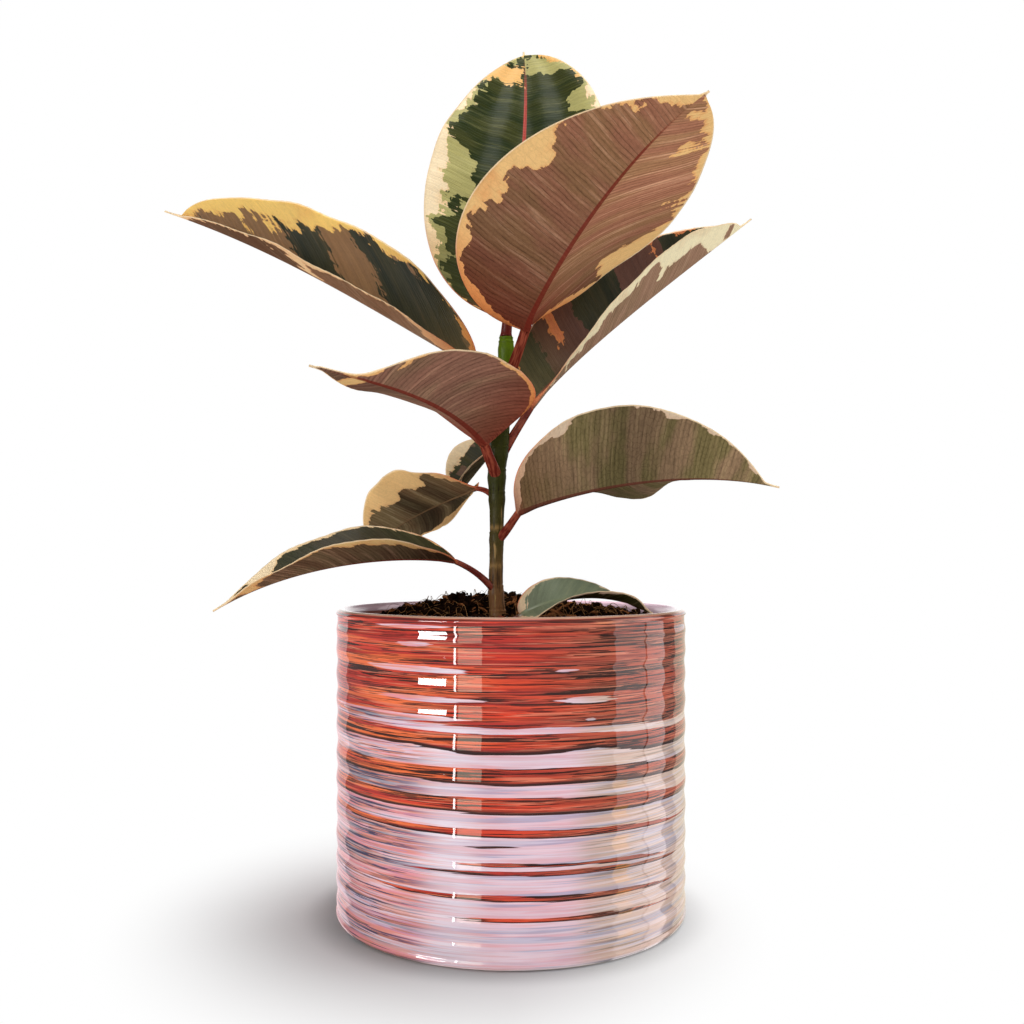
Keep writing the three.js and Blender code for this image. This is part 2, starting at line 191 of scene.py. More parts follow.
class Wires:
    """Adds nodes to one tree. A value is a number, a colour or another node's socket."""

    def __init__(self, tree):
        self.tree = tree

    def feed(self, socket, value):
        if isinstance(value, bpy.types.NodeSocket):
            self.tree.links.new(value, socket)
        else:
            socket.default_value = value

    def node(self, kind, inputs=(), **settings):
        made = self.tree.nodes.new(kind)
        for key, value in settings.items():
            setattr(made, key, value)
        for key, value in dict(inputs).items():
            self.feed(made.inputs[key], value)
        return made

    def math(self, operation, a, b=0.0, c=0.0):
        return self.node("ShaderNodeMath", {0: a, 1: b, 2: c}, operation=operation).outputs[0]

    def times(self, a, b):
        return self.math("MULTIPLY", a, b)

    def times_plus(self, a, b, c):
        """a times b, plus c"""
        return self.math("MULTIPLY_ADD", a, b, c)

    def plus(self, a, b):
        return self.math("ADD", a, b)

    def minus(self, a, b):
        return self.math("SUBTRACT", a, b)

    def larger(self, a, b):
        return self.math("MAXIMUM", a, b)

    def ramp(self, value, low, high, to_low=0.0, to_high=1.0):
        """Smooth rise from to_low at low to to_high at high"""
        inputs = {"Value": value, "From Min": low, "From Max": high, "To Min": to_low,
                  "To Max": to_high}
        kind = "ShaderNodeMapRange"
        return self.node(kind, inputs, interpolation_type="SMOOTHSTEP").outputs["Result"]

    def mix(self, share, a, b, blend="MIX"):
        made = self.node("ShaderNodeMix", {0: share, 6: a, 7: b}, data_type="RGBA",
                         blend_type=blend)
        return made.outputs[2]

    def grey(self, value):
        return self.node("ShaderNodeCombineColor", {0: value, 1: value, 2: value}).outputs[0]

    def scaled(self, colour, value):
        """Colour times a value"""
        return self.mix(1.0, colour, self.grey(value), "MULTIPLY")

    def join(self, x, y, z=0.0):
        return self.node("ShaderNodeCombineXYZ", {0: x, 1: y, 2: z}).outputs[0]

    def sheet(self, along_vein, long, across, wide, z=0.0):
        """A place on a leaf face, stretched along and across its side veins"""
        return self.join(self.times(along_vein, long), self.times(across, wide), z)

    def split(self, vector):
        return self.node("ShaderNodeSeparateXYZ", {0: vector}).outputs

    def read(self, name):
        """The three numbers of a mesh attribute"""
        made = self.node("ShaderNodeAttribute", attribute_name=name)
        return self.split(made.outputs["Vector"])

    def place(self):
        return self.node("ShaderNodeTexCoord").outputs["Object"]

    def stretched(self, vector, x, y, z):
        return self.node("ShaderNodeVectorMath", {0: vector, 1: (x, y, z)},
                         operation="MULTIPLY").outputs[0]

    def noise(self, vector, detail=2.0, roughness=0.5):
        inputs = {"Vector": vector, "Scale": 1.0, "Detail": detail, "Roughness": roughness}
        return self.node("ShaderNodeTexNoise", inputs).outputs["Fac"]

    def cell_edges(self, vector):
        """Distance from the edges of irregular cells"""
        inputs = {"Vector": vector, "Scale": 1.0}
        return self.node("ShaderNodeTexVoronoi", inputs, feature="DISTANCE_TO_EDGE").outputs[0]

    def mottling(self, place, cloud_size, grain_size):
        return self.group(effect("mottling"), place=place, cloud_size=cloud_size,
                          grain_size=grain_size)

    def group(self, tree, **inputs):
        made = self.node("ShaderNodeGroup", node_tree=tree)
        for key, value in inputs.items():
            self.feed(made.inputs[key.replace("_", " ").capitalize()], value)
        return made.outputs


def new_group(name, inputs, outputs):
    """An empty shader group with number sockets, and its wires, inputs and output node"""
    tree = bpy.data.node_groups.new(name, "ShaderNodeTree")
    for label, default in inputs.items():
        kind = "NodeSocketVector" if isinstance(default, tuple) else "NodeSocketFloat"
        tree.interface.new_socket(label, in_out="INPUT", socket_type=kind).default_value = default
    for label in outputs:
        tree.interface.new_socket(label, in_out="OUTPUT", socket_type="NodeSocketFloat")
    w = Wires(tree)
    return tree, w, w.node("NodeGroupInput").outputs, w.node("NodeGroupOutput").inputs


def empty_tree(owner):
    """The wires of a material's or a world's emptied node tree"""
    owner.use_nodes = True
    owner.node_tree.nodes.clear()
    return Wires(owner.node_tree)


def new_object(name, data):
    """An object in the scene that holds a mesh, a light or a camera"""
    made = bpy.data.objects.new(name, data)
    bpy.context.scene.collection.objects.link(made)
    return made


def new_material(name):
    """A material with its wires and its Principled shader"""
    material = bpy.data.materials.new(name)
    w = empty_tree(material)
    shader = w.node("ShaderNodeBsdfPrincipled")
    w.node("ShaderNodeOutputMaterial", {"Surface": shader.outputs[0]})
    return material, w, shader


def finish_surface(w, shader, colour, roughness, height, depth, specular=0.5, coat=0.0,
                   coat_roughness=0.1, coat_ior=1.5, strength=1.0):
    """Joins a colour, a roughness and a relief of a given depth in metres to the shader"""
    bump = w.node("ShaderNodeBump", {"Height": height, "Distance": depth, "Strength": strength})
    w.feed(shader.inputs["Base Color"], colour)
    w.feed(shader.inputs["Roughness"], roughness)
    w.feed(shader.inputs["Normal"], bump.outputs[0])
    shader.inputs["Specular IOR Level"].default_value = specular
    shader.inputs["Coat Weight"].default_value = coat
    shader.inputs["Coat Roughness"].default_value = coat_roughness
    shader.inputs["Coat IOR"].default_value = coat_ior


def mottling_group():
    """Soft cloudiness and fine grain over any surface, from its place in metres"""
    inputs = {"Place": (0.0, 0.0, 0.0), "Cloud size": 0.01, "Grain size": 0.001}
    tree, w, given, out = new_group("Mottling", inputs, ["Cloud", "Grain"])
    for label, detail, roughness in (("Cloud", 3.0, 0.5), ("Grain", 2.0, 0.6)):
        share = w.math("DIVIDE", 1.0, given[label + " size"])
        place = w.node("ShaderNodeVectorMath", {0: given["Place"], 3: share}, operation="SCALE")
        w.feed(out[label], w.noise(place.outputs[0], detail=detail, roughness=roughness))
    return tree


def markings_group():
    """Splits a leaf face into its dark, middle and pale zones. Pale and Middle come in as
    the distance in mm outside each zone's mean edge, and the edges step along the side veins"""
    inputs = {"Pale": -5.0, "Middle": -5.0, "Along": 0.0, "Across": 0.0, "Seed": 0.0, "Jag": 4.0}
    tree, w, given, out = new_group("Leaf markings", inputs, ["Pale zone", "Middle zone", "Edge"])
    along_vein, across = given["Along"], given["Across"]
    wander = w.noise(w.sheet(along_vein, 0.16, across, 0.05, given["Seed"]))
    shifted = w.times_plus(wander, 3.0, along_vein)
    block = w.math("FLOOR", w.math("DIVIDE", shifted, 2.3))
    fine_block = w.math("FLOOR", w.math("DIVIDE", shifted, 0.8))
    for label, seed in (("Pale", 0.0), ("Middle", 31.0)):
        key = w.plus(given["Seed"], seed)
        step = w.node("ShaderNodeTexWhiteNoise", {"Vector": w.join(block, key)}).outputs["Value"]
        fringe = w.node("ShaderNodeTexWhiteNoise",
                        {"Vector": w.join(fine_block, key, 3.0)}).outputs["Value"]
        lobe = w.noise(w.sheet(along_vein, 0.13, across, 0.05, key), detail=1.0)
        ragged = w.noise(w.sheet(along_vein, 0.9, across, 0.35, key), detail=3.0, roughness=0.6)
        reach = w.times_plus(w.minus(lobe, 0.5), 1.7, w.times(w.minus(step, 0.5), 0.7))
        reach = w.times_plus(w.minus(ragged, 0.5), 0.55, reach)
        reach = w.times_plus(w.minus(fringe, 0.5), 0.22, reach)
        sway = w.noise(w.sheet(along_vein, 0.07, across, 0.3, w.plus(key, 5.0)), detail=3.0)
        reach = w.times_plus(w.minus(sway, 0.5), 2.6, reach)
        field = w.times_plus(reach, given["Jag"], given[label])
        w.feed(out[label + " zone"], w.ramp(field, -0.16, 0.16))
        if label == "Pale":
            w.feed(out["Edge"], w.ramp(w.math("ABSOLUTE", field), 1.6, 0.0))
    return tree


def veins_group():
    """Side veins of a leaf face: the lines of the veins, the soft stripes between them, the
    net of the finest veins, and the relief of them all"""
    inputs = {"Along": 0.0, "Across": 0.0, "Seed": 0.0, "Spacing": 2.0}
    tree, w, given, out = new_group("Leaf veins", inputs, ["Line", "Stripe", "Net", "Relief"])
    along_vein, across = given["Along"], given["Across"]
    wander = w.noise(w.sheet(along_vein, 0.11, across, 0.07, given["Seed"]), detail=3.0)
    place = w.times_plus(wander, 1.5, w.math("DIVIDE", along_vein, given["Spacing"]))
    off = w.math("ABSOLUTE", w.minus(w.math("FRACT", place), 0.5))
    off_fine = w.math("ABSOLUTE", w.minus(w.math("FRACT", w.times(place, 2.0)), 0.5))
    strong = w.ramp(w.noise(w.sheet(along_vein, 0.3, across, 0.12, 7.0)), 0.35, 0.62)
    line = w.times(w.ramp(off, 0.15, 0.02), w.times_plus(strong, 0.55, 0.45))
    fine = w.times(w.ramp(off_fine, 0.22, 0.02), 0.3)
    stripe = w.noise(w.sheet(along_vein, 0.55, across, 0.035, given["Seed"]), detail=4.0,
                     roughness=0.65)
    net = w.cell_edges(w.sheet(along_vein, 0.6, across, 0.42))
    net_line = w.ramp(net, 0.12, 0.02)
    w.feed(out["Line"], w.larger(line, fine))
    w.feed(out["Stripe"], stripe)
    w.feed(out["Net"], net_line)
    swell = w.noise(w.sheet(along_vein, 0.5, across, 0.035, given["Seed"]), detail=1.0)
    relief = w.times_plus(net_line, 0.15, w.times_plus(swell, 2.2, line))
    w.feed(out["Relief"], relief)
    return tree


def streaks_group():
    """Long thin brush streaks that run round the pot, from its place in metres"""
    inputs = {"Place": (0.0, 0.0, 0.0), "Seed": 0.0, "Fineness": 1.0}
    tree, w, given, out = new_group("Glaze streaks", inputs, ["Broad", "Fine", "Hair"])
    parts = w.split(given["Place"])
    height = w.times(parts[2], given["Fineness"])
    for label, round_scale, height_scale, shift in (
            ("Broad", 11.0, 470.0, 0.0), ("Fine", 26.0, 1450.0, 5.0), ("Hair", 60.0, 2300.0, 11.0)):
        vector = w.join(w.times_plus(parts[0], round_scale, given["Seed"]),
                        w.times_plus(parts[1], round_scale, shift), w.times(height, height_scale))
        w.feed(out[label], w.noise(vector, detail=2.0))
    return tree


GROUPS = {}


def effect(name):
    """A shader group, built once"""
    makers = {"mottling": mottling_group, "markings": markings_group, "veins": veins_group,
              "streaks": streaks_group}
    if name not in GROUPS:
        GROUPS[name] = makers[name]()
    return GROUPS[name]


# Pot

# Red slits in the pearly lower part: (azimuth, top) and (azimuth, bottom), degrees and mm.
# Azimuth 0 is the front and 90 the right. Outside its ends a slit's top lies below its bottom.
# The pearly part and its slits are partly glaze and partly painted reflection: the pale glaze stands
# for the white floor mirrored in the ribs' down-facing slopes, the red slits for the dark room
# mirrored in their up-facing slopes.
SLITS = [
    ([(-60, 83.2), (-40, 82.5), (-20, 81.9), (0, 81.6), (20, 81.2), (30, 80.6), (40, 80), (60, 79.5)],
     [(-60, 77), (-30, 77), (-10, 74.5), (10, 74.5), (25, 75.5), (45, 73), (64, 73)]),
    ([(-65, 70.2), (10, 69.8), (30, 69), (64, 67.5)],
     [(-60, 65.3), (-30, 65.2), (-20, 64.5), (0, 63.8), (20, 63.8), (40, 63), (64, 62.5)]),
    ([(-65, 60), (0, 59.8), (20, 59), (40, 58), (62, 56)],
     [(-65, 54.8), (-20, 54.8), (0, 53.8), (30, 53), (60, 52.7)]),
    ([(-65, 49.4), (0, 48.9), (20, 48.3), (40, 47), (62, 45.2)],
     [(-65, 47.5), (-20, 46.8), (0, 46), (20, 45.3), (62, 44.8)]),
    ([(-30, 36.4), (-19, 37), (0, 37.5), (20, 36.6), (40, 35.8), (58, 33.2), (75, 32.6)],
     [(-30, 37.6), (-19, 36.9), (0, 36), (20, 35.6), (58, 33.1), (75, 34)]),
    ([(-50, 33.6), (-38, 34.3), (0, 34.8), (20, 34.4), (58, 32.3), (75, 31.6)],
     [(-50, 34.6), (-38, 34.1), (0, 33), (20, 32.3), (58, 31.6), (75, 33)]),
    ([(-60, 25.8), (-42, 26.4), (0, 26.5), (20, 25.7), (40, 24.8), (58, 23.3), (75, 22.6)],
     [(-60, 26.8), (-42, 25.9), (-30, 25.3), (0, 24.3), (40, 23.2), (58, 22.8), (75, 24)]),
    ([(-32, 17.6), (-21, 18.2), (0, 18.6), (20, 17.9), (40, 17.2), (56, 16), (75, 15.4)],
     [(-32, 18.8), (-21, 17.9), (0, 17.2), (20, 16.6), (40, 16.2), (56, 15.7), (75, 17)]),
]

# Thin lens shapes: (height, azimuth from, azimuth to, half thickness, drop to the right). The
# pale lenses are painted reflections of the floor on the down-facing slopes of the upper ribs.
PALE_LENSES = [
    (118.3, -46, -17, 0.9, 0), (112, -37, -22, 0.8, 0), (103.8, -50, -9, 1.15, 1.0),
    (103, 12, 20, 0.45, 0), (93.3, -46, -6, 1.05, 0.6), (92.7, 12, 34, 1.0, 0.4),
    (86.8, -75, -10, 1.3, 0.6), (85.8, 21, 26, 0.5, 0), (117.6, 118, 160, 0.8, 0.5),
    (111.5, 170, 226, 0.9, 0.3), (104, 100, 152, 1.1, 0.8), (103.2, 204, 262, 1.1, 0.4),
    (93, 128, 190, 1.1, 0.6), (93.6, 232, 285, 1.0, 0.2), (87.6, 180, 240, 0.9, 0.5),
]
RED_LENSES = [
    (43, -13, 1, 0.3, 0), (11.6, 20, 25, 0.3, 0), (36, 112, 196, 0.8, 0.8),
    (26, 150, 250, 0.7, 0.6), (18, 100, 158, 0.5, 0.3), (35, 216, 296, 0.7, -0.5),
    (12, 190, 240, 0.4, 0.2), (43, 240, 290, 0.4, 0),
]
# Top edge of the pearly part, partly glaze and partly painted floor reflection: (azimuth, height)
PALE_EDGE = [(-60, 85.2), (-30, 85), (-10, 84), (0, 83.3), (10, 83.9), (20, 83), (40, 82.5),
             (60, 82), (120, 84), (200, 85.4), (250, 84)]
# Screen colours of the glaze
GLAZE = {
    "red": (228, 68, 42), "orange": (250, 118, 64), "crimson": (192, 50, 40),
    "copper": (166, 98, 72), "coral": (244, 150, 118), "maroon": (112, 30, 22),
    "break": (26, 12, 9), "pearl": (242, 206, 220), "rose": (246, 152, 162),
    "beige": (208, 182, 156), "blue": (112, 118, 182), "slate": (146, 162, 200),
    "navy": (52, 56, 92), "olive": (128, 104, 78), "white": (250, 238, 250),
}


OUTSIDE_GLAZE = -9.0
BAND_DRIFT, GLAZE_DRIFT = 0.5, 0.35
OUTER_WAVES, INNER_WAVES = 0.09, 0.25


def round_pot(points, azimuth):
    """Value at each azimuth of a line of (azimuth, value) points that closes round the pot"""
    place, value = np.array(points, float).T
    return np.interp(azimuth, place, value, period=360)


def lens_field(shapes, azimuth, height):
    """Distance in mm inside the nearest lens shape, negative outside"""
    best = np.full(azimuth.shape, OUTSIDE_GLAZE)
    for middle, start, end, half, drop in shapes:
        centre, reach = (start + end) / 2, (end - start) / 2
        share = ((azimuth - centre + 180) % 360 - 180) / reach
        thickness = half * (1 - share ** 2)
        field = thickness - np.abs(height - middle + drop * (share + 1) / 2)
        best = np.maximum(best, np.where(np.abs(share) < 1.6, field, OUTSIDE_GLAZE))
    return best


def glaze_fields(azimuth, height):
    """Distance in mm inside the pearly glaze, negative in the red, and the place across a slit.
    The pearly glaze is partly a painted reflection of the floor, and the red slits partly a
    painted reflection of the dark room
    """
    edge = round_pot(PALE_EDGE, azimuth) - height
    slit = np.full(azimuth.shape, OUTSIDE_GLAZE)
    place = np.full(azimuth.shape, 0.5)
    for tops, bottoms in SLITS:
        top, bottom = round_pot(tops, azimuth), round_pot(bottoms, azimuth)
        field = np.minimum(top - height, height - bottom)
        inside = field > slit
        place = np.where(inside & (top > bottom), (height - bottom) / np.maximum(top - bottom, 0.2),
                         place)
        slit = np.maximum(slit, field)
    slit = np.maximum(slit, lens_field(RED_LENSES, azimuth, height))
    pearl = np.maximum(np.minimum(edge, -slit), lens_field(PALE_LENSES, azimuth, height))
    return pearl, np.clip(place, 0, 1)


def groove_share(height):
    """1 in the middle of a groove between two ribs and 0 on a crest"""
    turns = np.interp(height, GROOVES, np.arange(len(GROOVES)))
    share = 0.5 + 0.5 * np.cos(2 * np.pi * turns)
    share = share * np.interp(height, GROOVES, GROOVE_DEPTHS)
    return share * smooth((POT_HEIGHT - 1 - height) / 2)


def pot_profile(settings):
    """The pot's section from the middle of its underside round to the middle of its floor:
    radius, height and the part of the pot that each point belongs to"""
    wall, foot, floor = mm(settings.wall), mm(settings.foot_round), mm(settings.floor)
    lip = wall / 2
    radius, height = POT_RADIUS, POT_HEIGHT
    section = [(r, 0.0, "under") for r in np.linspace(0, radius - foot - 1, 12)]
    for turn in np.radians(np.linspace(0, 80, 7)):
        part = "under" if turn < 0.4 else "out"
        section.append((radius - foot + foot * math.sin(turn), foot * (1 - math.cos(turn)), part))
    rows = int((height - lip - foot) / mm(settings.row))
    section += [(radius, z, "out") for z in np.linspace(foot, height - lip, rows)]
    for turn in np.radians(np.linspace(12, 168, 12)):
        section.append((radius - lip + lip * math.cos(turn), height - lip + lip * math.sin(turn),
                        "out" if turn < 1.2 else "lip"))
    bore = radius - wall
    section += [(bore, z, "in") for z in np.linspace(height - lip, floor + 3, 46)]
    section += [(bore - 1, floor + 0.8, "in"), (bore - 3, floor, "in")]
    section += [(r, floor, "in") for r in np.linspace(bore - 8, 0, 5)]
    return section


def make_pot(settings):
    section = pot_profile(settings)
    sides = settings.sides
    foot, lip, rib_depth = mm(settings.foot_round), mm(settings.wall) / 2, mm(settings.rib_depth)
    azimuth = np.linspace(0, 360, sides, endpoint=False)
    bearing = np.radians(azimuth - 90)
    ring = np.stack([np.cos(bearing), np.sin(bearing)], -1)
    points, fields = [], []
    drift = waves(np.column_stack([ring * 1.3, np.zeros(sides)]), 1.0, 3)
    for radius, height, part in section:
        place = height + BAND_DRIFT * drift
        cut = np.zeros(sides)
        if part == "out" and foot < height < POT_HEIGHT - lip:
            cut = rib_depth * groove_share(place)
            around = np.column_stack([ring * 1.6, np.full(sides, height * 0.13)])
            cut += OUTER_WAVES * (1 + waves(around, 1.0, 9))
        if part == "in":
            cut = INNER_WAVES * np.sin(height * 0.7 + drift * 2)
        points.append(np.column_stack([ring * (radius - cut)[:, None], np.full(sides, height)]))
        pearl, slit = glaze_fields(azimuth, place + GLAZE_DRIFT * drift)
        fields.append(np.stack([pearl, groove_share(place), slit], -1))
    points, fields = np.array(points), np.array(fields)
    rings = len(section)
    faces, face_material = [], []
    slots = {"under": 2, "out": 0, "lip": 1, "in": 1}
    for i in range(1, rings - 2):
        for j in range(sides):
            after = (j + 1) % sides
            faces.append((i * sides + j, i * sides + after, (i + 1) * sides + after,
                          (i + 1) * sides + j))
            face_material.append(slots[section[i][2]])
    flat = points.reshape(-1, 3)
    for end, near, slot in ((0, 1, 2), (rings - 1, rings - 2, 1)):
        for j in range(sides):
            after = (j + 1) % sides
            corner = (near * sides + j, near * sides + after, end * sides)
            faces.append(corner if end else corner[::-1])
            face_material.append(slot)
    used = np.ones(len(flat), bool)
    used[1:sides] = False
    used[(rings - 1) * sides + 1:] = False
    index = np.cumsum(used) - 1
    faces = [tuple(index[corner] for corner in face) for face in faces]
    materials = [glaze_outside(settings), glaze_inside(settings), bare_clay()]
    make_piece("pot_glazed", flat[used], faces, materials, "pot", face_material,
               {"glaze": fields.reshape(-1, 3)[used]})


def glaze_outside(settings):
    material, w, shader = new_material("lustre_glaze")
    tone = {name: rgb(*colour) for name, colour in GLAZE.items()}
    for name in ("red", "orange", "copper", "pearl", "rose", "blue"):
        tone[name] = tuple(getattr(settings, name))
    pearl, groove, slit = w.read("glaze")
    place = w.place()
    across, _, height = w.split(place)
    left = w.ramp(across, 0.005, -0.042)
    far_left = w.ramp(across, -0.014, -0.05)
    right = w.ramp(across, -0.005, 0.04)
    low = w.ramp(height, 0.085, 0.05)
    streak = w.group(effect("streaks"), place=place, seed=0.0, fineness=1.0)
    second = w.group(effect("streaks"), place=place, seed=7.3, fineness=0.8)
    third = w.group(effect("streaks"), place=place, seed=2.9, fineness=1.15)
    ragged = w.times_plus(w.minus(streak["Fine"], 0.5), 1.4,
                          w.times(w.minus(second["Hair"], 0.5), 0.9))
    pearly = w.ramp(w.plus(pearl, ragged), -0.07, 0.09)
    # red zone: crimson, more orange to the left and coppery to the right, with thin dark breaks
    red = w.mix(w.ramp(streak["Broad"], 0.44, 0.56), tone["red"], tone["crimson"])
    orange = w.times(w.ramp(second["Broad"], 0.45, 0.56), w.times_plus(left, 0.9, 0.1))
    red = w.mix(orange, red, tone["orange"])
    copper = w.times_plus(w.ramp(third["Broad"], 0.42, 0.56), 0.35, 0.6)
    red = w.mix(w.times(copper, right), red, tone["copper"])
    red = w.mix(w.times(w.ramp(third["Fine"], 0.52, 0.6), 0.55), red, tone["maroon"])
    red = w.mix(w.times(w.ramp(second["Fine"], 0.43, 0.38), 0.5), red, tone["coral"])
    patches = w.ramp(third["Broad"], 0.4, 0.56, -0.02, 0.035)
    dark_pull = w.times_plus(groove, 0.055, w.minus(patches, 0.015))
    dark_pull = w.times_plus(right, 0.018, dark_pull)
    line = w.ramp(w.plus(streak["Fine"], dark_pull), 0.605, 0.622)
    thin = w.ramp(w.plus(third["Hair"], dark_pull), 0.6, 0.62)
    edge = w.ramp(w.times_plus(ragged, 0.12, slit), 0.26, 0.12)
    rim = w.times_plus(ragged, 0.0004, height)
    lip = w.times(w.ramp(rim, 0.1199, 0.1202), w.ramp(rim, 0.1208, 0.1205))
    dark = w.larger(w.larger(w.times(thin, 0.85), line), edge)
    dark = w.larger(dark, w.times(lip, 0.8))
    red = w.mix(w.times(dark, 0.94), red, tone["break"])
    # pearly zone, partly glaze and partly a painted reflection of the floor: lavender pink,
    # rosier to the left and beige to the right, with blue streaks
    rose = w.times(w.ramp(second["Broad"], 0.45, 0.5), w.times_plus(left, 0.7, 0.3))
    pale = w.mix(rose, tone["pearl"], tone["rose"])
    pale = w.mix(w.times(w.ramp(right, 0.5, 1.0), 0.8), pale, tone["beige"])
    blue = w.times(w.ramp(streak["Broad"], 0.53, 0.57), w.times_plus(low, 0.2, 0.35))
    blue = w.times(blue, w.times_plus(left, -0.5, 1.0))
    pale = w.mix(blue, pale, w.mix(left, tone["slate"], tone["blue"]))
    brush = w.larger(w.ramp(w.times_plus(low, 0.02, third["Broad"]), 0.565, 0.58),
                     w.ramp(third["Fine"], 0.565, 0.58))
    pale = w.mix(w.times(brush, w.times_plus(far_left, 0.88, 0.07)), pale, tone["navy"])
    olive = w.times(w.ramp(third["Fine"], 0.56, 0.62), w.ramp(right, 0.6, 1.0))
    pale = w.mix(w.times(olive, 0.6), pale, tone["olive"])
    pale = w.mix(w.times(w.ramp(second["Hair"], 0.5, 0.54), w.times_plus(left, 0.5, 0.1)), pale,
                 tone["coral"])
    # painted highlight: a soft upright whitening of the pale glaze a little left of the middle, for
    # the window's blurred reflection; light whitens the pale glaze with white streaks and with it
    painted_window_highlight = w.ramp(w.math("ABSOLUTE", w.plus(across, 0.021)), 0.016, 0.001)
    light = w.times_plus(w.ramp(second["Fine"], 0.5, 0.6), 0.35, w.times(painted_window_highlight, 0.5))
    pale = w.mix(light, pale, tone["white"])
    colour = w.mix(pearly, red, pale)
    colour = w.mix(w.ramp(rim, 0.1207, 0.121), colour, w.mix(0.55, tone["beige"], tone["copper"]))
    soft = w.mottling(place, 0.03, 0.0012)
    colour = w.scaled(colour, w.times_plus(soft["Cloud"], 0.3, 0.87))
    roughness = w.ramp(pearly, 0.0, 1.0, 1.0, 0.4)
    relief = w.times_plus(streak["Broad"], 0.7, w.times(streak["Fine"], 0.2))
    finish_surface(w, shader, colour, roughness, relief, 0.00012, coat=1.0, coat_roughness=0.02,
                   coat_ior=settings.gloss, strength=0.5, specular=0.4)
    return material


def glaze_inside(settings):
    material, w, shader = new_material("pale_glaze")
    place = w.place()
    streak = w.group(effect("streaks"), place=place, seed=3.0, fineness=0.6)
    soft = w.mottling(place, 0.02, 0.0008)
    colour = w.mix(w.ramp(streak["Broad"], 0.4, 0.65), tuple(settings.pearl), rgb(214, 188, 200))
    colour = w.scaled(colour, w.times_plus(soft["Cloud"], 0.25, 0.85))
    across, _, height = w.split(place)
    drift = w.times_plus(w.minus(streak["Fine"], 0.5), 0.006, height)
    band = w.times(w.ramp(drift, 0.1188, 0.1182), w.ramp(across, 0.0, -0.02))
    colour = w.mix(w.times(band, 0.85), colour, tuple(settings.copper))
    # painted shade and light: the inside glaze is darker to the left and lighter to the right
    colour = w.scaled(colour, w.ramp(across, -0.06, 0.05, 0.85, 1.3))
    roughness = w.times_plus(soft["Grain"], 0.1, 0.14)
    finish_surface(w, shader, colour, roughness, streak["Fine"], 0.0001, coat=0.7,
                   coat_roughness=0.05, strength=0.4)
    return material


def bare_clay():
    material, w, shader = new_material("bare_clay")
    soft = w.mottling(w.place(), 0.015, 0.0006)
    colour = w.mix(soft["Cloud"], rgb(196, 160, 132), rgb(222, 196, 172))
    colour = w.scaled(colour, w.times_plus(soft["Grain"], 0.35, 0.8))
    finish_surface(w, shader, colour, 0.85, soft["Grain"], 0.0003)
    return material


# Soil

POT_BORE = POT_RADIUS - 4
SOIL_LEVEL = 115.5
SOIL_BOTTOM = 7.3
SOIL_GAP = 0.3
SOIL_EDGE = 8
# Mounds: x, y, length, width and height; low waves: height, its two directions and its start
MOUNDS = [(-13, 26, 36, 22, 9.5), (34, 18, 30, 22, 3.2)]
LUMPS = [(0.45, 0.31, 0.27, 1.3), (0.45, 0.31, -0.27, 2.1), (0.54, 0.22, 0.53, 0)]
STEM_FOOT_X = -5.3
STEM_CLEARANCE = 4.6
CRUMB_REACH, FIBRE_REACH = 61, 56
FULL_TURN = 6.28
BARK_SHARE = 0.12
BARK_SHAPE = (1.7, 0.9, 0.4)


def soil_height(x, y):
    """Height of the soil: level near the wall, two mounds behind the stem, and low lumps"""
    edge = smooth((POT_BORE - np.hypot(x, y)) / SOIL_EDGE)
    rise = sum(high * np.exp(-np.hypot((x - at_x) / long, (y - at_y) / wide) ** 2)
               for at_x, at_y, long, wide, high in MOUNDS)
    lumps = sum(high * np.sin(kx * x + ky * y + phase) for high, kx, ky, phase in LUMPS)
    return SOIL_LEVEL + (rise + lumps) * edge


def make_soil(settings):
    make_soil_bed(settings)
    rng = np.random.default_rng(settings.seed)
    make_crumbs(settings, rng)
    make_fibres(settings, rng)


def make_soil_bed(settings):
    """The bed: a rough top on a plain plug that fills the pot"""
    radius = POT_BORE - SOIL_GAP
    sides, rings = settings.bed_sides, settings.bed_rings
    bearing = np.linspace(0, 2 * np.pi, sides, endpoint=False)
    points = [(0, 0, float(soil_height(0.0, 0.0)))]
    for ring in range(1, rings + 1):
        r = radius * ring / rings
        x, y = r * np.cos(bearing), r * np.sin(bearing)
        points += list(zip(x, y, soil_height(x, y)))
    points = np.array(points)
    rough = 0.9 * waves(points, 0.35, 1) + 0.6 * waves(points, 0.9, 2)
    edge = smooth((radius - np.hypot(points[:, 0], points[:, 1])) / 4)
    points[:, 2] += rough * (0.35 + 0.65 * edge) - 0.3
    base = points[-sides:].copy()
    base[:, 2] = SOIL_BOTTOM
    points = np.vstack([points, base, [[0, 0, SOIL_BOTTOM]]])
    faces = [(0, 1 + j, 1 + (j + 1) % sides) for j in range(sides)]
    for ring in range(rings):
        a, b = 1 + ring * sides, 1 + (ring + 1) * sides
        faces += [(a + j, b + j, b + (j + 1) % sides, a + (j + 1) % sides) for j in range(sides)]
    last = 1 + rings * sides
    faces += [(last + j, len(points) - 1, last + (j + 1) % sides) for j in range(sides)]
    make_piece("soil_bed", points, faces, [soil_material("potting_soil", settings.bed)],
               "soil")


def pebble():
    """Points and faces of a small ball of 80 faces"""
    ball = bmesh.new()
    bmesh.ops.create_icosphere(ball, subdivisions=2, radius=1.0)
    points = np.array([v.co[:] for v in ball.verts])
    faces = [tuple(v.index for v in face.verts) for face in ball.faces]
    ball.free()
    return points, faces


def on_soil(rng, reach):
    """A place on the soil, clear of the stem"""
    while True:
        x, y = rng.uniform(-reach, reach, 2)
        if math.hypot(x, y) < reach and math.hypot(x - STEM_FOOT_X, y) > STEM_CLEARANCE:
            return x, y


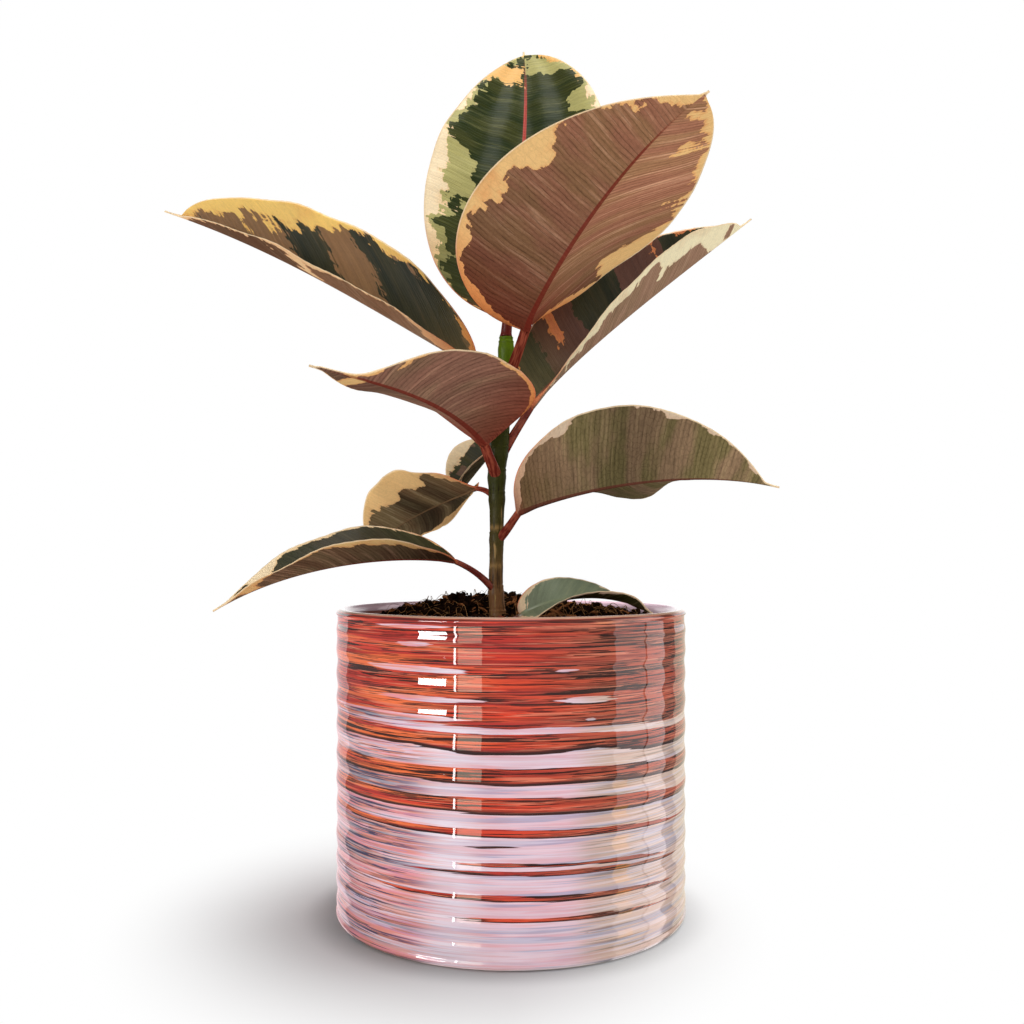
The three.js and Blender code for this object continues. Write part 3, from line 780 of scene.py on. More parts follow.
def make_crumbs(settings, rng):
    """Loose crumbs and bits of bark, squashed and knobbly, half sunk in the bed"""
    ball, ball_faces = pebble()
    all_points, faces, face_material = [], [], []
    for i in range(settings.crumbs):
        x, y = on_soil(rng, CRUMB_REACH)
        size = 0.45 + 1.35 * rng.random() ** 3
        shape = rng.uniform(0.55, 1.25, 3)
        bark = rng.random() < BARK_SHARE
        if bark:
            size *= 1.5
            shape = np.array(BARK_SHAPE)
        knobs = 1 + 0.55 * waves(ball, 2.1, i % 13)
        points = ball * knobs[:, None] * shape * size
        spin = Euler(rng.uniform(-0.6, 0.6, 2).tolist() + [rng.uniform(0, FULL_TURN)]).to_matrix()
        points = points @ np.array(spin).T
        height = float(soil_height(x, y))
        start = len(all_points) * len(ball)
        all_points.append(points + (x, y, height + size * 0.15))
        faces += [tuple(start + corner for corner in face) for face in ball_faces]
        face_material += [1 if bark else 0] * len(ball_faces)
    materials = [soil_material("soil_crumbs", settings.crumb),
                 soil_material("bark_bits", settings.bark)]
    make_piece("soil_crumbs", np.vstack(all_points), faces, materials, None, face_material,
               smooth_faces=False)


def make_fibres(settings, rng):
    """Thin roots and coir fibres that lie and loop on the soil"""
    points, faces = [], []
    count, sides = 14, 5
    for _ in range(settings.fibres):
        x, y = on_soil(rng, FIBRE_REACH)
        heading = rng.uniform(0, FULL_TURN)
        length = rng.uniform(5, 16)
        thick = rng.uniform(0.08, 0.22)
        rise = rng.uniform(0.4, 3.4)
        bend = rng.uniform(-2.4, 2.4)
        line = []
        for k in range(count):
            share = k / (count - 1)
            turn = heading + bend * share
            x += math.cos(turn) * length / count
            y += math.sin(turn) * length / count
            if math.hypot(x, y) > POT_BORE - 3:
                x, y = x * 0.96, y * 0.96
            height = float(soil_height(x, y))
            line.append((x, y, height + 0.25 + rise * math.sin(math.pi * share) ** 2))
        line = np.array(line)
        tangent = unit(np.gradient(line, axis=0))
        side = unit(np.cross(tangent, [0, 0, 1.0]))
        up = np.cross(side, tangent)
        start = len(points) * sides * count
        angles = np.linspace(0, 2 * np.pi, sides, endpoint=False)
        taper = thick * (1 - 0.6 * np.linspace(0, 1, count))[:, None, None]
        ring = side[:, None] * np.cos(angles)[:, None] + up[:, None] * np.sin(angles)[:, None]
        points.append((line[:, None] + ring * taper).reshape(-1, 3))
        faces += [tuple(start + corner for corner in face) for face in tube_faces(count, sides)]
    make_piece("soil_fibres", np.vstack(points), faces,
               [soil_material("coir_fibre", settings.fibre)])


# Dark screen colours of each kind of soil, which noise mixes with its light colour
SOIL_DARK_TONES = {"potting_soil": (7, 4, 3), "soil_crumbs": (9, 5, 3), "bark_bits": (66, 36, 20),
           "coir_fibre": (96, 62, 36)}


def soil_material(name, light):
    """Potting soil, its crumbs, its bark bits or its fibres, given their light colour"""
    material, w, shader = new_material(name)
    dark = rgb(*SOIL_DARK_TONES[name])
    soft = w.mottling(w.place(), 0.004, 0.0006)
    share = w.ramp(w.times_plus(soft["Grain"], 0.6, soft["Cloud"]), 0.62, 1.0)
    colour = w.mix(share, dark, tuple(light))
    finish_surface(w, shader, colour, 1.0, soft["Grain"], 0.0005, specular=0.0)
    return material


# Stem and bud

STEM_LINE = [
    (-5.3, 94, 3.3), (-5.3, 117.5, 3.3), (-6.1, 128, 3.0), (-5.9, 145, 2.8), (-5.7, 160, 3.0),
    (-5.7, 176, 3.6), (-4.7, 187, 3.7), (-3.2, 206, 3.3), (-2.1, 224, 3.1), (-2.0, 231, 2.8),
]
TAN_RINGS = [138.3, 153.7]
NODE_SWELL = 0.28
NODE_LENGTH = 2.2
# The ring scar above each leaf: its height above the leaf, its rise and its reach
SCAR_RINGS = [(3.1, 0.16, 0.35), (3.9, -0.12, 0.4)]
BUD_TIP_RADIUS = 0.21
BUD_LEAN = (0.6, -0.8, 10)


def make_stem(settings):
    """A tapering stem that swells at each leaf, with a ring scar above each"""
    line = np.array(STEM_LINE)
    share = np.linspace(0, 1, settings.rings)
    x, z, radius = (along(line[:, k], share) for k in range(3))
    nodes = [leaf["stalk"][0][2] for leaf in LEAVES]
    for height in nodes:
        radius = radius + NODE_SWELL * np.exp(-((z - height) / NODE_LENGTH) ** 2)
        for above, rise, reach in SCAR_RINGS:
            radius = radius + rise * np.exp(-((z - height - above) / reach) ** 2)
    angles = np.linspace(0, 2 * np.pi, settings.sides, endpoint=False)
    ring = np.stack([np.cos(angles), np.sin(angles), np.zeros(len(angles))], -1)
    points = np.stack([x, np.zeros(len(x)), z], -1)[:, None] + ring * radius[:, None, None]
    flat = points.reshape(-1, 3)
    out = np.broadcast_to(ring, points.shape).reshape(-1, 3)
    lumps = waves(flat * (1, 1, 0.25), 0.9, 5) * 0.1 + waves(flat * (1, 1, 0.5), 2.2, 6) * 0.05
    flat = flat + out * lumps[:, None]
    scars = np.max([np.exp(-((z - height) / 1.1) ** 2) for height in TAN_RINGS], axis=0)
    scars = np.repeat(scars, settings.sides)
    grown = np.column_stack([flat[:, 2], scars, np.zeros(len(flat))])
    make_piece("stem_bark", flat, tube_faces(len(x), settings.sides), [bark_material(settings)],
               "stem", None, {"grown": grown})


def bark_material(settings):
    material, w, shader = new_material("green_bark")
    height, scar, _ = w.read("grown")
    place = w.place()
    streak = w.noise(w.stretched(place, 900, 900, 70), detail=3.0)
    soft = w.mottling(place, 0.006, 0.0007)
    wander = w.times_plus(w.minus(streak, 0.5), 30.0, height)
    green = w.mix(w.ramp(wander, 196, 222), rgb(54, 56, 18), tuple(settings.green))
    brown = w.mix(w.ramp(wander, 118, 154), tuple(settings.brown), rgb(70, 62, 24))
    colour = w.mix(w.ramp(wander, 150, 176), brown, green)
    tan = w.times(w.ramp(streak, 0.6, 0.7), w.ramp(height, 180, 145))
    colour = w.mix(tan, colour, rgb(164, 130, 80))
    colour = w.mix(w.times(w.ramp(streak, 0.44, 0.32), 0.7), colour, rgb(30, 26, 12))
    broken = w.times(scar, w.ramp(streak, 0.3, 0.5))
    colour = w.mix(w.times(broken, 0.8), colour, rgb(150, 116, 66))
    colour = w.scaled(colour, w.times_plus(soft["Grain"], 0.5, 0.75))
    relief = w.times_plus(soft["Grain"], 0.4, streak)
    finish_surface(w, shader, colour, 0.5, relief, 0.0003, coat=0.06, coat_roughness=0.3,
                   specular=0.05)
    return material


def make_bud(settings):
    """The closed sheath: a slim pointed cone with the long overlap of its edge winding up it"""
    rings, sides = 60, 40
    length, foot = mm(settings.length), mm(settings.radius)
    top_x, top_z, _ = STEM_LINE[-1]
    lean = np.array(BUD_LEAN) / np.linalg.norm(BUD_LEAN)
    share = np.linspace(0, 1, rings)
    radius = np.maximum(BUD_TIP_RADIUS, foot * np.sqrt(1 - share) * (1 - 0.12 * share))
    radius += 0.3 * np.exp(-(share / 0.03) ** 2)
    centre = np.array([top_x, 0, top_z + 0.3]) + lean * (length * share)[:, None]
    angles = np.linspace(0, 2 * np.pi, sides, endpoint=False)
    ring = np.stack([np.cos(angles), np.sin(angles), np.zeros(sides)], -1)
    winding = (angles[None] / (2 * np.pi) + 1.1 * share[:, None]) % 1
    overlap = 0.22 * smooth(winding * 6) * smooth((1 - winding) * 1.2) * (1 - share[:, None])
    points = centre[:, None] + ring * (radius[:, None] + overlap - 0.1)[..., None]
    grown = np.stack([np.repeat(share, sides), winding.ravel(), np.zeros(rings * sides)], -1)
    make_piece("bud_sheath", points.reshape(-1, 3), tube_faces(rings, sides),
               [sheath_material(settings)], "bud", None, {"grown": grown})


def sheath_material(settings):
    material, w, shader = new_material("bud_sheath")
    share, winding, _ = w.read("grown")
    place = w.place()
    streak = w.noise(w.stretched(place, 1500, 1500, 90), detail=3.0)
    colour = w.mix(w.ramp(share, 0.0, 0.7), tuple(settings.dark), tuple(settings.light))
    colour = w.scaled(colour, w.times_plus(streak, 0.7, 0.65))
    colour = w.mix(w.ramp(winding, 0.05, 0.0), colour, rgb(48, 14, 12))
    finish_surface(w, shader, colour, 0.5, streak, 0.0002, coat=0.1, coat_roughness=0.2,
                   specular=0.1)
    return material


# Leaves

BLADE_THICKNESS = 0.8
MIDRIB_SHARE = 0.55
BASE_SHARE = 0.08
TIP_HALF_WIDTH = 0.9
TIP_END_HALF_WIDTH = 0.45
TIP_FROM = 0.5
RIB_SHARE, RIB_LEAST, RIB_TAPER = 0.66, 0.22, 0.85
OUTSIDE_ZONE = -20.0
WHOLLY_PALE = 0.85
WHOLLY_PALE_GAIN = 12
RIPPLE_RISE = 1 / 6
RIPPLE_FALL = 1 / 4
STALK_FLARE = 0.4

# Screen colours of the leaves' zones, for the upper face and the underside
GREEN = {"dark": (40, 50, 20), "tint": (58, 62, 24), "middle": (172, 164, 102),
         "pale": (246, 222, 182), "warm": (232, 178, 102), "base": (62, 62, 28),
         "rib": (196, 74, 66)}
OLIVE = {"dark": (38, 42, 24), "tint": (56, 54, 30), "middle": (138, 100, 62),
         "pale": (244, 200, 106), "warm": (222, 144, 72), "base": (96, 88, 56),
         "rib": (150, 82, 60)}
BROWN = {"dark": (122, 88, 62), "tint": (126, 84, 64), "middle": (164, 128, 102),
         "pale": (230, 186, 124), "warm": (218, 134, 76), "base": (112, 46, 32),
         "rib": (112, 38, 28)}
TAUPE = {"dark": (156, 124, 98), "tint": (162, 126, 102), "middle": (172, 142, 118),
         "pale": (246, 232, 192), "warm": (226, 192, 150), "base": (160, 134, 110),
         "rib": (150, 120, 100)}
MOSS = {"dark": (104, 92, 60), "tint": (124, 100, 76), "middle": (138, 118, 86),
        "pale": (212, 188, 160), "warm": (204, 160, 128), "base": (104, 76, 52),
        "rib": (96, 50, 40)}

# Each leaf follows its solid: Bezier points of its stalk and midrib, radius of its stalk, the
# way its upper face looks and its twist, and for each half its outline, fold, curl and ripples
# (wave: height, number and start). wide is the half width in mm and widest its place as t, the
# share of the midrib. full and point say how full the outline is at the base and the tip, tip is
# the share that narrows to the drip tip, and trim narrows a half at even steps. slant is how far
# a side vein runs forward for each mm outwards, swell a low bulge in mm, and pleats are creases:
# t, height and width in mm. pale and middle are the shares of the half, from the margin inwards,
# that are cream and that are not dark, at even steps from the base to the tip. Patches are
# further pale, middle or dark places, each from a first to a last t, halfway across it, and from
# an inner to an outer share of the half. light brightens or darkens the coloured part of a half,
# at even steps: partly its own tone and partly painted light and shade, namely painted
# highlights along the pleats, painted shade beside them and a painted sheen. jag is how ragged
# the zones' edges are, ripe the t from which the cream is warm, line and net how dark the veins
# are below, and gloss the roughness of the upper face.
LEAVES = [
    {
        "name": "leaf_back_top",
        "stalk": [(-2, 0, 226), (-2, 4, 229.5), (-2, 7, 233.5), (-1.5, 9, 240)],
        "midrib": [(-1.5, 9, 240), (1.5, 26, 277.5), (9, 42, 333.5), (6, 72, 379)],
        "thick": 1.8, "face": (0, -1, 0.3),
        "wide": 42, "widest": 0.38, "full": 0.55, "point": 0.45, "tip": 0.02,
        "r": {"fold": [14, 14, 5], "curl": 12, "widest": 0.36, "point": 0.7, "slant": 0.05,
              "swell": 0.7,
              "pale": [0, 0, 0.02, 0.1, 0.12, 0.06, 0.36, 0.24, 0.18, 0.2, 0.08, 0.14, 0.02,
                       0.02, 0.1, 0.08, 0.03, 0.2, 0.5, 0.1, 0],
              "pale_patches": [(0.84, 0.925, 0, 1.2)],
              "middle": [0, 0.04, 0.06, 0.3, 0.26, 0.1, 0.42, 0.42, 0.5, 0.48, 0.46, 0.2, 0.06,
                         0.1, 0.22, 0.2, 0.08, 0.2, 0.5, 0.2, 0],
              "dark_patches": [(0.295, 0.345, 0.6, 0.78)]},
        "l": {"fold": [14, 14, 5], "curl": 12, "widest": 0.42, "slant": 0.05, "swell": 0.7,
              "pale": [0, 0.05, 0.1, 0.2, 0.12, 0.3, 0.2, 0.1, 0.05, 0.2, 0.1, 0.03, 0.02, 0.02,
                       0.05, 0.05, 0.02, 0.02, 0.04, 0.3, 0],
              "middle": [0.3, 0.4, 0.3, 0.4, 0.3, 0.5, 0.4, 0.3, 0.2, 0.4, 0.2, 0.1, 0.03, 0.05,
                         0.35, 0.42, 0.06, 0.03, 0.2, 0.3, 0],
              "middle_patches": [(0.885, 0.955, 0, 1.2)]},
        "upper": GREEN, "under": BROWN, "seed": 1, "jag": 5.0, "gloss": 0.26, "ripe": 0.75,
    },
    {
        "name": "leaf_front_top",
        "stalk": [(-3, 0, 210.5), (-0.5, -3, 215), (2.5, -7, 222.5), (5.7, -13, 231.5)],
        "midrib": [(5.7, -13, 231.5), (10, -34, 239), (34.5, -50, 283), (71, -52, 309)],
        "thick": 1.9, "face": (-0.25, 1, 0.15),
        "wide": 42, "widest": 0.42, "full": 0.55, "point": 0.5, "tip": 0.02,
        "r": {"fold": [33, 39, 15, -19], "curl": 10, "wide": 34.5, "widest": 0.43, "full": 0.8,
              "point": 0.45, "slant": 1.3, "swell": 0.3,
              "pale": [0.5, 0.5, 0.45, 0.4, 0.22, 0.1, 0.28, 0.34, 0.28, 0.24, 0.2, 0.15, 0.1,
                       0.06, 0.05, 0.07, 0.08, 0.15, 0.25, 0.4, 1],
              "pale_patches": [(0.69, 0.71, 0.7, 1), (0.84, 0.87, 0.4, 0.9),
                               (0.93, 0.95, 0.2, 0.8)],
              "light": [0.9, 1.25, 1.55, 1.8, 1.95, 1.95, 1.8]},
        "l": {"fold": [12, 12, 4], "curl": 14, "widest": 0.31, "full": 0.72, "point": 0.97,
              "slant": 0.05, "swell": 0.2,
              "pale": [0.8, 0.3, 0.08, 0.07, 0.16, 0.08, 0.16, 0.26, 0.22, 0.2, 0.4, 0.26, 0.05,
                       0.02, 0, 0.02, 0.06, 0.12, 0.7, 1.2, 1.2],
              "pale_patches": [(0.795, 0.81, 0.75, 1.1), (0.825, 0.838, 0.7, 1.1)],
              "light": [0.8, 0.9, 1.05, 1.2, 1.35, 1.5, 1.5]},
        "upper": GREEN, "under": BROWN, "seed": 2, "jag": 4.2, "gloss": 0.28,
    },
    {
        "name": "leaf_right_upper",
        "stalk": [(-3.5, 0, 183), (-0.5, 1, 189.5), (3.5, 3, 195.5), (8, 5, 203)],
        "midrib": [(8, 5, 203), (29, 14, 228.5), (62, 30, 255), (107, 44, 292)],
        "thick": 1.5, "face": (-0.3, -0.47, 1),
        "wide": 28, "widest": 0.42, "full": 0.55, "point": 0.7, "tip": 0.05,
        "r": {"fold": [45, 45, 45], "curl": 10, "slant": 0.25,
              "pale": [0.1, 0.05, 0.02, 0.02, 0.02, 0.02, 0.02, 0.02, 0.02, 0.02, 0.02, 0.02,
                       0.02, 0.03, 0.03, 0.03, 0.03, 0.04, 0.1, 0.4, 1],
              "pale_patches": [(0.225, 0.262, 0.4, 0.95), (0.665, 0.685, 0.5, 1.1)],
              "middle": [0.3, 0.1, 0, 0, 0, 0, 0, 0, 0, 0, 0, 0, 0, 0, 0, 0, 0, 0, 0.2, 0.4, 1],
              "middle_patches": [(0.17, 0.33, 0, 1.2), (0.51, 0.7, 0, 1.2)]},
        "l": {"fold": [46, 46, 46], "curl": 10, "wide": 25.5, "widest": 0.6, "full": 0.8,
              "slant": 0.3, "trim": [0.3, 0.4, 0.62, 0.86, 1, 1, 1, 1, 1, 1, 1],
              "pale": [0.1, 0.15, 0.25, 0.35, 0.36, 0.32, 0.28, 0.3, 0.26, 0.17, 0.18, 0.12,
                       0.45, 0.44, 0.42, 0.45, 0.9, 1.1, 1.1, 1.1, 1.1],
              "pale_patches": [(0.575, 0.6, 0.35, 0.9)],
              "dark_patches": [(0.875, 0.9, 0.1, 0.9)]},
        "upper": {**OLIVE, "middle": (98, 64, 50), "pale": (206, 120, 76)}, "under": TAUPE,
        "net": 0.08, "seed": 3, "jag": 2.6, "gloss": 0.34,
    },
    {
        "name": "leaf_left_upper",
        "stalk": [(-3, 0, 206.5), (-5.5, 3, 212.5), (-9.5, 5, 217), (-15, 6, 220.5)],
        "midrib": [(-15, 6, 220.5), (-46, 8, 237.5), (-92.5, 14, 269), (-146, 18, 287.5)],
        "thick": 1.7, "face": (0.35, -0.73, 1),
        "wide": 28.5, "widest": 0.47, "full": 0.55, "point": 0.7, "tip": 0.05,
        "r": {"fold": [35, 33, 33], "curl": 8, "wide": 25, "slant": 0.3,
              "pale": [1, 0.9, 0.6, 0.25, 0.14, 0.1, 0.08, 0.08, 0.1, 0.12, 0.2, 0.2, 0.1, 0.08,
                       0.08, 0.06, 0.08, 0.12, 0.2, 0.5, 1],
              "pale_patches": [(0.06, 0.16, 0, 1.2), (0.5, 0.565, 0, 1.2), (0.63, 0.636, 0, 1.1)],
              "light": [1.1, 1.2, 1.1, 1.0, 0.95, 0.95, 0.6, 0.55, 0.6, 0.7, 0.8]},
        "l": {"fold": [42, 44, 44], "curl": 8, "wide": 27.2, "widest": 0.5, "point": 0.5,
              "slant": 1.15,
              "pale": [0.5, 0.1, 0.02, 0.02, 0.02, 0.02, 0.02, 0.05, 0.13, 0.12, 0.08, 0.2,
                       0.43, 0.48, 0.4, 0.38, 0.38, 0.5, 0.6, 0.7, 1],
              "pale_patches": [(0.74, 0.755, 0.4, 1), (0.815, 0.83, 0.3, 1)],
              "middle": [0.8, 0.5, 0, 0, 0, 0, 0, 0, 0.05, 0.05, 0, 0, 0, 0, 0.2, 0.4, 0.4,
                         0.5, 0.6, 0.7, 1],
              "middle_patches": [(0.41, 0.56, 0, 1.2), (0.7, 0.95, 0, 1.2),
                                 (0.34, 0.41, 0.85, 1.2)]},
        "upper": OLIVE, "under": {**TAUPE, "dark": (134, 98, 72), "tint": (142, 100, 74),
                                  "pale": (236, 196, 148), "warm": (230, 150, 98)},
        "seed": 4, "jag": 4.6, "gloss": 0.34,
    },
    {
        "name": "leaf_left_front",
        "stalk": [(-5.5, 0, 174), (-7, -5, 177.5), (-9, -8, 182), (-10.5, -10, 186.5)],
        "midrib": [(-10.5, -10, 186.5), (-25, -30, 202.5), (-47, -52, 204), (-70.5, -62, 209)],
        "thick": 2, "face": (0.3, 0.84, 1),
        "wide": 28, "widest": 0.25, "full": 0.5, "point": 0.9, "tip": 0.05,
        "r": {"fold": [30, 50, 70], "curl": 10, "wide": 30, "widest": 0.12, "point": 2.5,
              "slant": -0.5, "pleats": [(0.38, 0.9, 4), (0.5, 0.7, 4)],
              "pale": [0.2, 0.08, 0.04, 0.03, 0.03, 0.03, 0.02, 0.02, 0.02, 0.03, 0.05, 0.05,
                       0.03, 0.03, 0.03, 0.05, 0.05, 0.05, 0.05, 0.1, 0.8],
              "pale_patches": [(0.525, 0.58, 0.7, 1.2), (0.79, 0.845, 0, 1.2)],
              "light": [1.1, 1.15, 1.15, 1.15, 1.15, 1.1, 1.05, 1.1, 1.3, 1.05, 1.3, 1.05, 1.1,
                        1.1, 1.05, 1, 0.95, 0.9, 0.9, 0.9, 0.9]},
        "l": {"fold": [34, 25, 5], "curl": 10, "slant": 0.5,
              "pale": [0.3, 0.2, 0.1, 0.1, 0.05, 0.05, 0.05, 0.05, 0.05, 0.05, 0.05, 0.05, 0.05,
                       0.05, 0.05, 0.05, 0.05, 0.05, 0.1, 0.1, 1],
              "pale_patches": [(0.79, 0.835, 0, 1.2)],
              "light": [1.9, 1.8, 1.5, 1.1, 0.9, 0.8, 0.85]},
        "upper": OLIVE, "under": {**BROWN, "dark": (124, 94, 74), "tint": (128, 90, 74)},
        "seed": 5, "jag": 1.8, "gloss": 0.34,
    },
    {
        "name": "leaf_right_middle",
        "stalk": [(-5.5, 0, 148.5), (-2, -3, 152), (0.5, -6, 156), (3, -8, 159.5)],
        "midrib": [(3, -8, 159.5), (31, -14, 170.5), (73, -20, 176.5), (102.5, -26, 168.5)],
        "thick": 1.5, "face": (0, 0.8, 1),
        "wide": 31, "widest": 0.43, "full": 0.55, "point": 0.9, "tip": 0.05,
        "r": {"fold": [42, 44, 42, 30, 25, 40, 44, 44, 42], "curl": 8, "slant": 0.3,
              "pale": [0.5, 0.3, 0.1, 0.08, 0.08, 0.05, 0.03, 0.03, 0.03, 0.03, 0.03, 0.03, 0.03,
                       0.03, 0.05, 0.1, 0.1, 0.1, 0.2, 0.4, 0.6]},
        "l": {"fold": [36, 36, 30], "curl": 8, "slant": 0.15, "swell": 0.3,
              "pale": [1, 0.25, 0.15, 0.08, 0.1, 0.14, 0.05, 0.02, 0.01, 0.01, 0.02, 0.04, 0.07,
                       0.03, 0.01, 0.01, 0.02, 0.03, 0.05, 0.1, 0.4],
              "light": [1.1, 1.25, 1.3, 0.95, 0.85, 1.2, 1.4, 1.5, 1.4]},
        "upper": GREEN, "under": MOSS, "net": 0.17, "line": 0.36, "seed": 6, "jag": 2.0, "gloss": 0.34,
    },
    {
        "name": "leaf_left_low",
        "stalk": [(-6, 0, 127), (-9.5, -3, 132.5), (-15, -5, 137), (-22, -7, 140)],
        "midrib": [(-22, -7, 140), (-45, -17, 143.5), (-83.5, -30, 139.5), (-110, -40, 122)],
        "thick": 1.1, "face": (0, -0.09, 1),
        "wide": 18, "widest": 0.42, "full": 0.75, "point": 0.9, "tip": 0.05,
        "r": {"fold": [34, 33, 24], "curl": 6, "wide": 16.5, "widest": 0.5, "slant": 0.6,
              "pale": [0.05, 0.05, 0.06, 0.1, 0.2, 0.22, 0.22, 0.2, 0.16, 0.18, 0.14, 0.04, 0.02,
                       0.02, 0.03, 0.05, 0.3, 0.5, 0.2, 0.5, 0.3],
              "pale_patches": [(0.82, 0.88, 0, 1.2), (0.95, 0.975, 0, 1.2)],
              "light": [0.55, 0.9, 1.2, 1.35, 1.45, 1.5, 1.5]},
        "l": {"fold": [40, 40, 20], "curl": 6, "slant": 0.5,
              "pale": [0.2, 0.1, 0.05, 0.05, 0.05, 0.03, 0.03, 0.03, 0.03, 0.03, 0.05, 0.05, 0.1,
                       0.1, 0.2, 0.6, 0.9, 0.2, 0.2, 1, 1]},
        "upper": {**GREEN, "dark": (58, 58, 38), "tint": (68, 62, 44), "middle": (112, 100, 72)},
        "under": {**BROWN, "dark": (100, 80, 58), "tint": (92, 68, 50),
                  "base": (80, 50, 34)},
        "seed": 7, "jag": 1.4, "gloss": 0.34,
    },
    {
        "name": "leaf_back_left",
        "stalk": [(-5.5, 0, 165), (-9.5, 3, 169), (-11, 5, 169.5), (-14, 7, 170)],
        "midrib": [(-14, 7, 170), (-23.5, 20, 166.5), (-41, 38, 163), (-65, 50, 145.5)],
        "thick": 1, "face": (-0.3, 0.9, 0.4),
        "wide": 24.5, "widest": 0.5, "full": 0.55, "point": 0.6, "tip": 0.04,
        "r": {"fold": [-5, -5, 5], "curl": 10, "wave": (1.5, 3, 0), "slant": 0.35,
              "pleats": [(0.36, 1.1, 4), (0.62, 0.4, 3), (0.7, 0.4, 3)],
              "pale": [0.3, 0.25, 0.25, 0.25, 0.08, 0.12, 0.44, 0.46, 0.5, 0.4, 0.35, 0.5, 0.5,
                       0.45, 0.4, 0.35, 0.2, 0.3, 0.5, 0.8, 1],
              "light": [1.2, 1.3, 1.4, 1.25, 1.0, 0.7, 0.6, 0.8, 1.45, 0.6, 0.48, 0.5, 0.8, 1.1,
                        1.15, 1.25, 1.1, 1, 1, 1, 1]},
        "l": {"fold": [60, 36, 20], "curl": 10, "widest": 0.62, "wave": (1.5, 3, 0),
              "slant": 0.6, "pleats": [(0.38, 1.0, 3), (0.55, 0.6, 3), (0.66, 0.6, 2.5),
                                       (0.75, 0.5, 2.5)],
              "pale": [0.1, 0.1, 0.1, 0.1, 0.1, 0.15, 0.1, 0.1, 0.1, 0.1, 0.2, 0.3, 0.2, 0.2, 0.15,
                       0.1, 0.1, 0.1, 0.2, 0.4, 0.8],
              "light": [1.4, 1.3, 1.6, 1.5, 1.0, 0.6, 0.5, 0.6, 1.3, 0.7, 0.45, 0.45, 0.6, 0.9, 1.3,
                        1.1, 1.2, 1, 1, 1, 1]},
        "upper": OLIVE, "under": {**MOSS, "dark": (112, 94, 66), "tint": (104, 80, 56),
                                  "middle": (150, 132, 102), "pale": (238, 194, 132),
                                  "warm": (214, 154, 104), "rib": (120, 92, 64)},
        "seed": 8, "jag": 2.4, "gloss": 0.36,
    },
    {
        "name": "leaf_behind_stem",
        "stalk": [(-4.5, 0, 187.5), (-4, 4, 191), (-5, 8, 190.5), (-6, 12, 187.5)],
        "midrib": [(-6, 12, 187.5), (-10.5, 26, 184.5), (-17, 40, 177), (-26, 51, 167)],
        "thick": 1.1, "face": (0, -1, 0.3),
        "wide": 16.5, "widest": 0.66, "full": 0.65, "point": 0.5, "tip": 0.04,
        "r": {"fold": [65, 65, 60], "curl": 10, "slant": 0.4,
              "pale": [0.1, 0.1, 0.1, 0.1, 0.1, 0.1, 0.1, 0.2, 0.2, 0.3, 0.8]},
        "l": {"fold": [10, 10, 10], "curl": 10, "wide": 14.5, "widest": 0.6, "slant": 0.4,
              "pale": [0.05, 0.05, 0.1, 0.15, 0.2, 0.32, 0.4, 0.36, 0.26, 0.2, 0.5],
              "middle": [0.3, 0.3, 0.2, 0.2, 0.25, 0.4, 0.5, 0.4, 0.3, 0.3, 0.6],
              "middle_patches": [(0.6, 0.72, 0.25, 0.5), (0.84, 0.95, 0.3, 1.2)]},
        "upper": {**GREEN, "dark": (56, 58, 38), "middle": (118, 90, 70)},
        "under": {**MOSS, "dark": (66, 60, 42), "tint": (78, 68, 48), "rib": (110, 96, 76)},
        "seed": 9, "jag": 2.6, "gloss": 0.4,
    },
    {
        "name": "leaf_on_soil",
        "stalk": [(-5.5, 0, 117), (-1.5, -12, 116.5), (1, -20, 117), (3.5, -26, 119.5)],
        "midrib": [(3.5, -26, 119.5), (14.5, -30, 127), (36, -36, 131), (53.5, -30, 120.5)],
        "thick": 1, "face": (0, -0.2, 1), "twist": -95,
        "wide": 12, "widest": 0.4, "full": 0.55, "point": 0.9, "tip": 0.05,
        "r": {"fold": [15, 15, 15], "curl": 10, "slant": 0.3,
              "pale": [0.9, 0.7, 0.3, 0.12, 0.05, 0.05, 0.05, 0.05, 0.05, 0.05, 0.06, 0.06, 0.08,
                       0.1, 0.1, 0.1, 0.1, 0.1, 0.2, 0.3, 0.5],
              "pale_patches": [(0.03, 0.1, 0.1, 1.2)]},
        "l": {"fold": [15, 15, 15], "curl": 10, "slant": 0.3,
              "pale": [0.9, 0.7, 0.3, 0.2, 0.2, 0.2, 0.2, 0.2, 0.2, 0.1, 0.1, 0.1, 0.1, 0.1, 0.1,
                       0.1, 0.1, 0.1, 0.2, 0.3, 0.5]},
        # Upper colours lightened to grey-green are a painted sheen; the darkened underside colours are
        # painted shade
        "upper": {**GREEN, "dark": (112, 122, 98), "tint": (122, 132, 106), "rib": (130, 138, 106),
                  "base": (110, 116, 90), "pale": (226, 206, 168), "warm": (220, 190, 150)},
        "under": {**MOSS, "dark": (56, 52, 26), "tint": (64, 56, 30)},
        "seed": 10, "jag": 1.6, "gloss": 0.36,
    },
]


def half_width(half, t):
    """Half the blade's width: the stalk's radius at the base, the oval blade, the drip tip"""
    power = math.log(0.5) / math.log(half["widest"])
    x = np.clip(t / (1 - half["tip"]), 0, 1)
    roundness = half["full"] + (half["point"] - half["full"]) * x * x
    body = half["wide"] * np.maximum(0, np.sin(np.pi * x ** power)) ** roundness
    stalk = half["thick"] * (1 - smooth(t / BASE_SHARE))
    tip = np.where(t > TIP_FROM, TIP_HALF_WIDTH * np.clip((1 - t) / half["tip"], 0, 1), 0)
    return np.maximum(TIP_END_HALF_WIDTH, np.sqrt(body ** 2 + stalk ** 2 + tip ** 2))


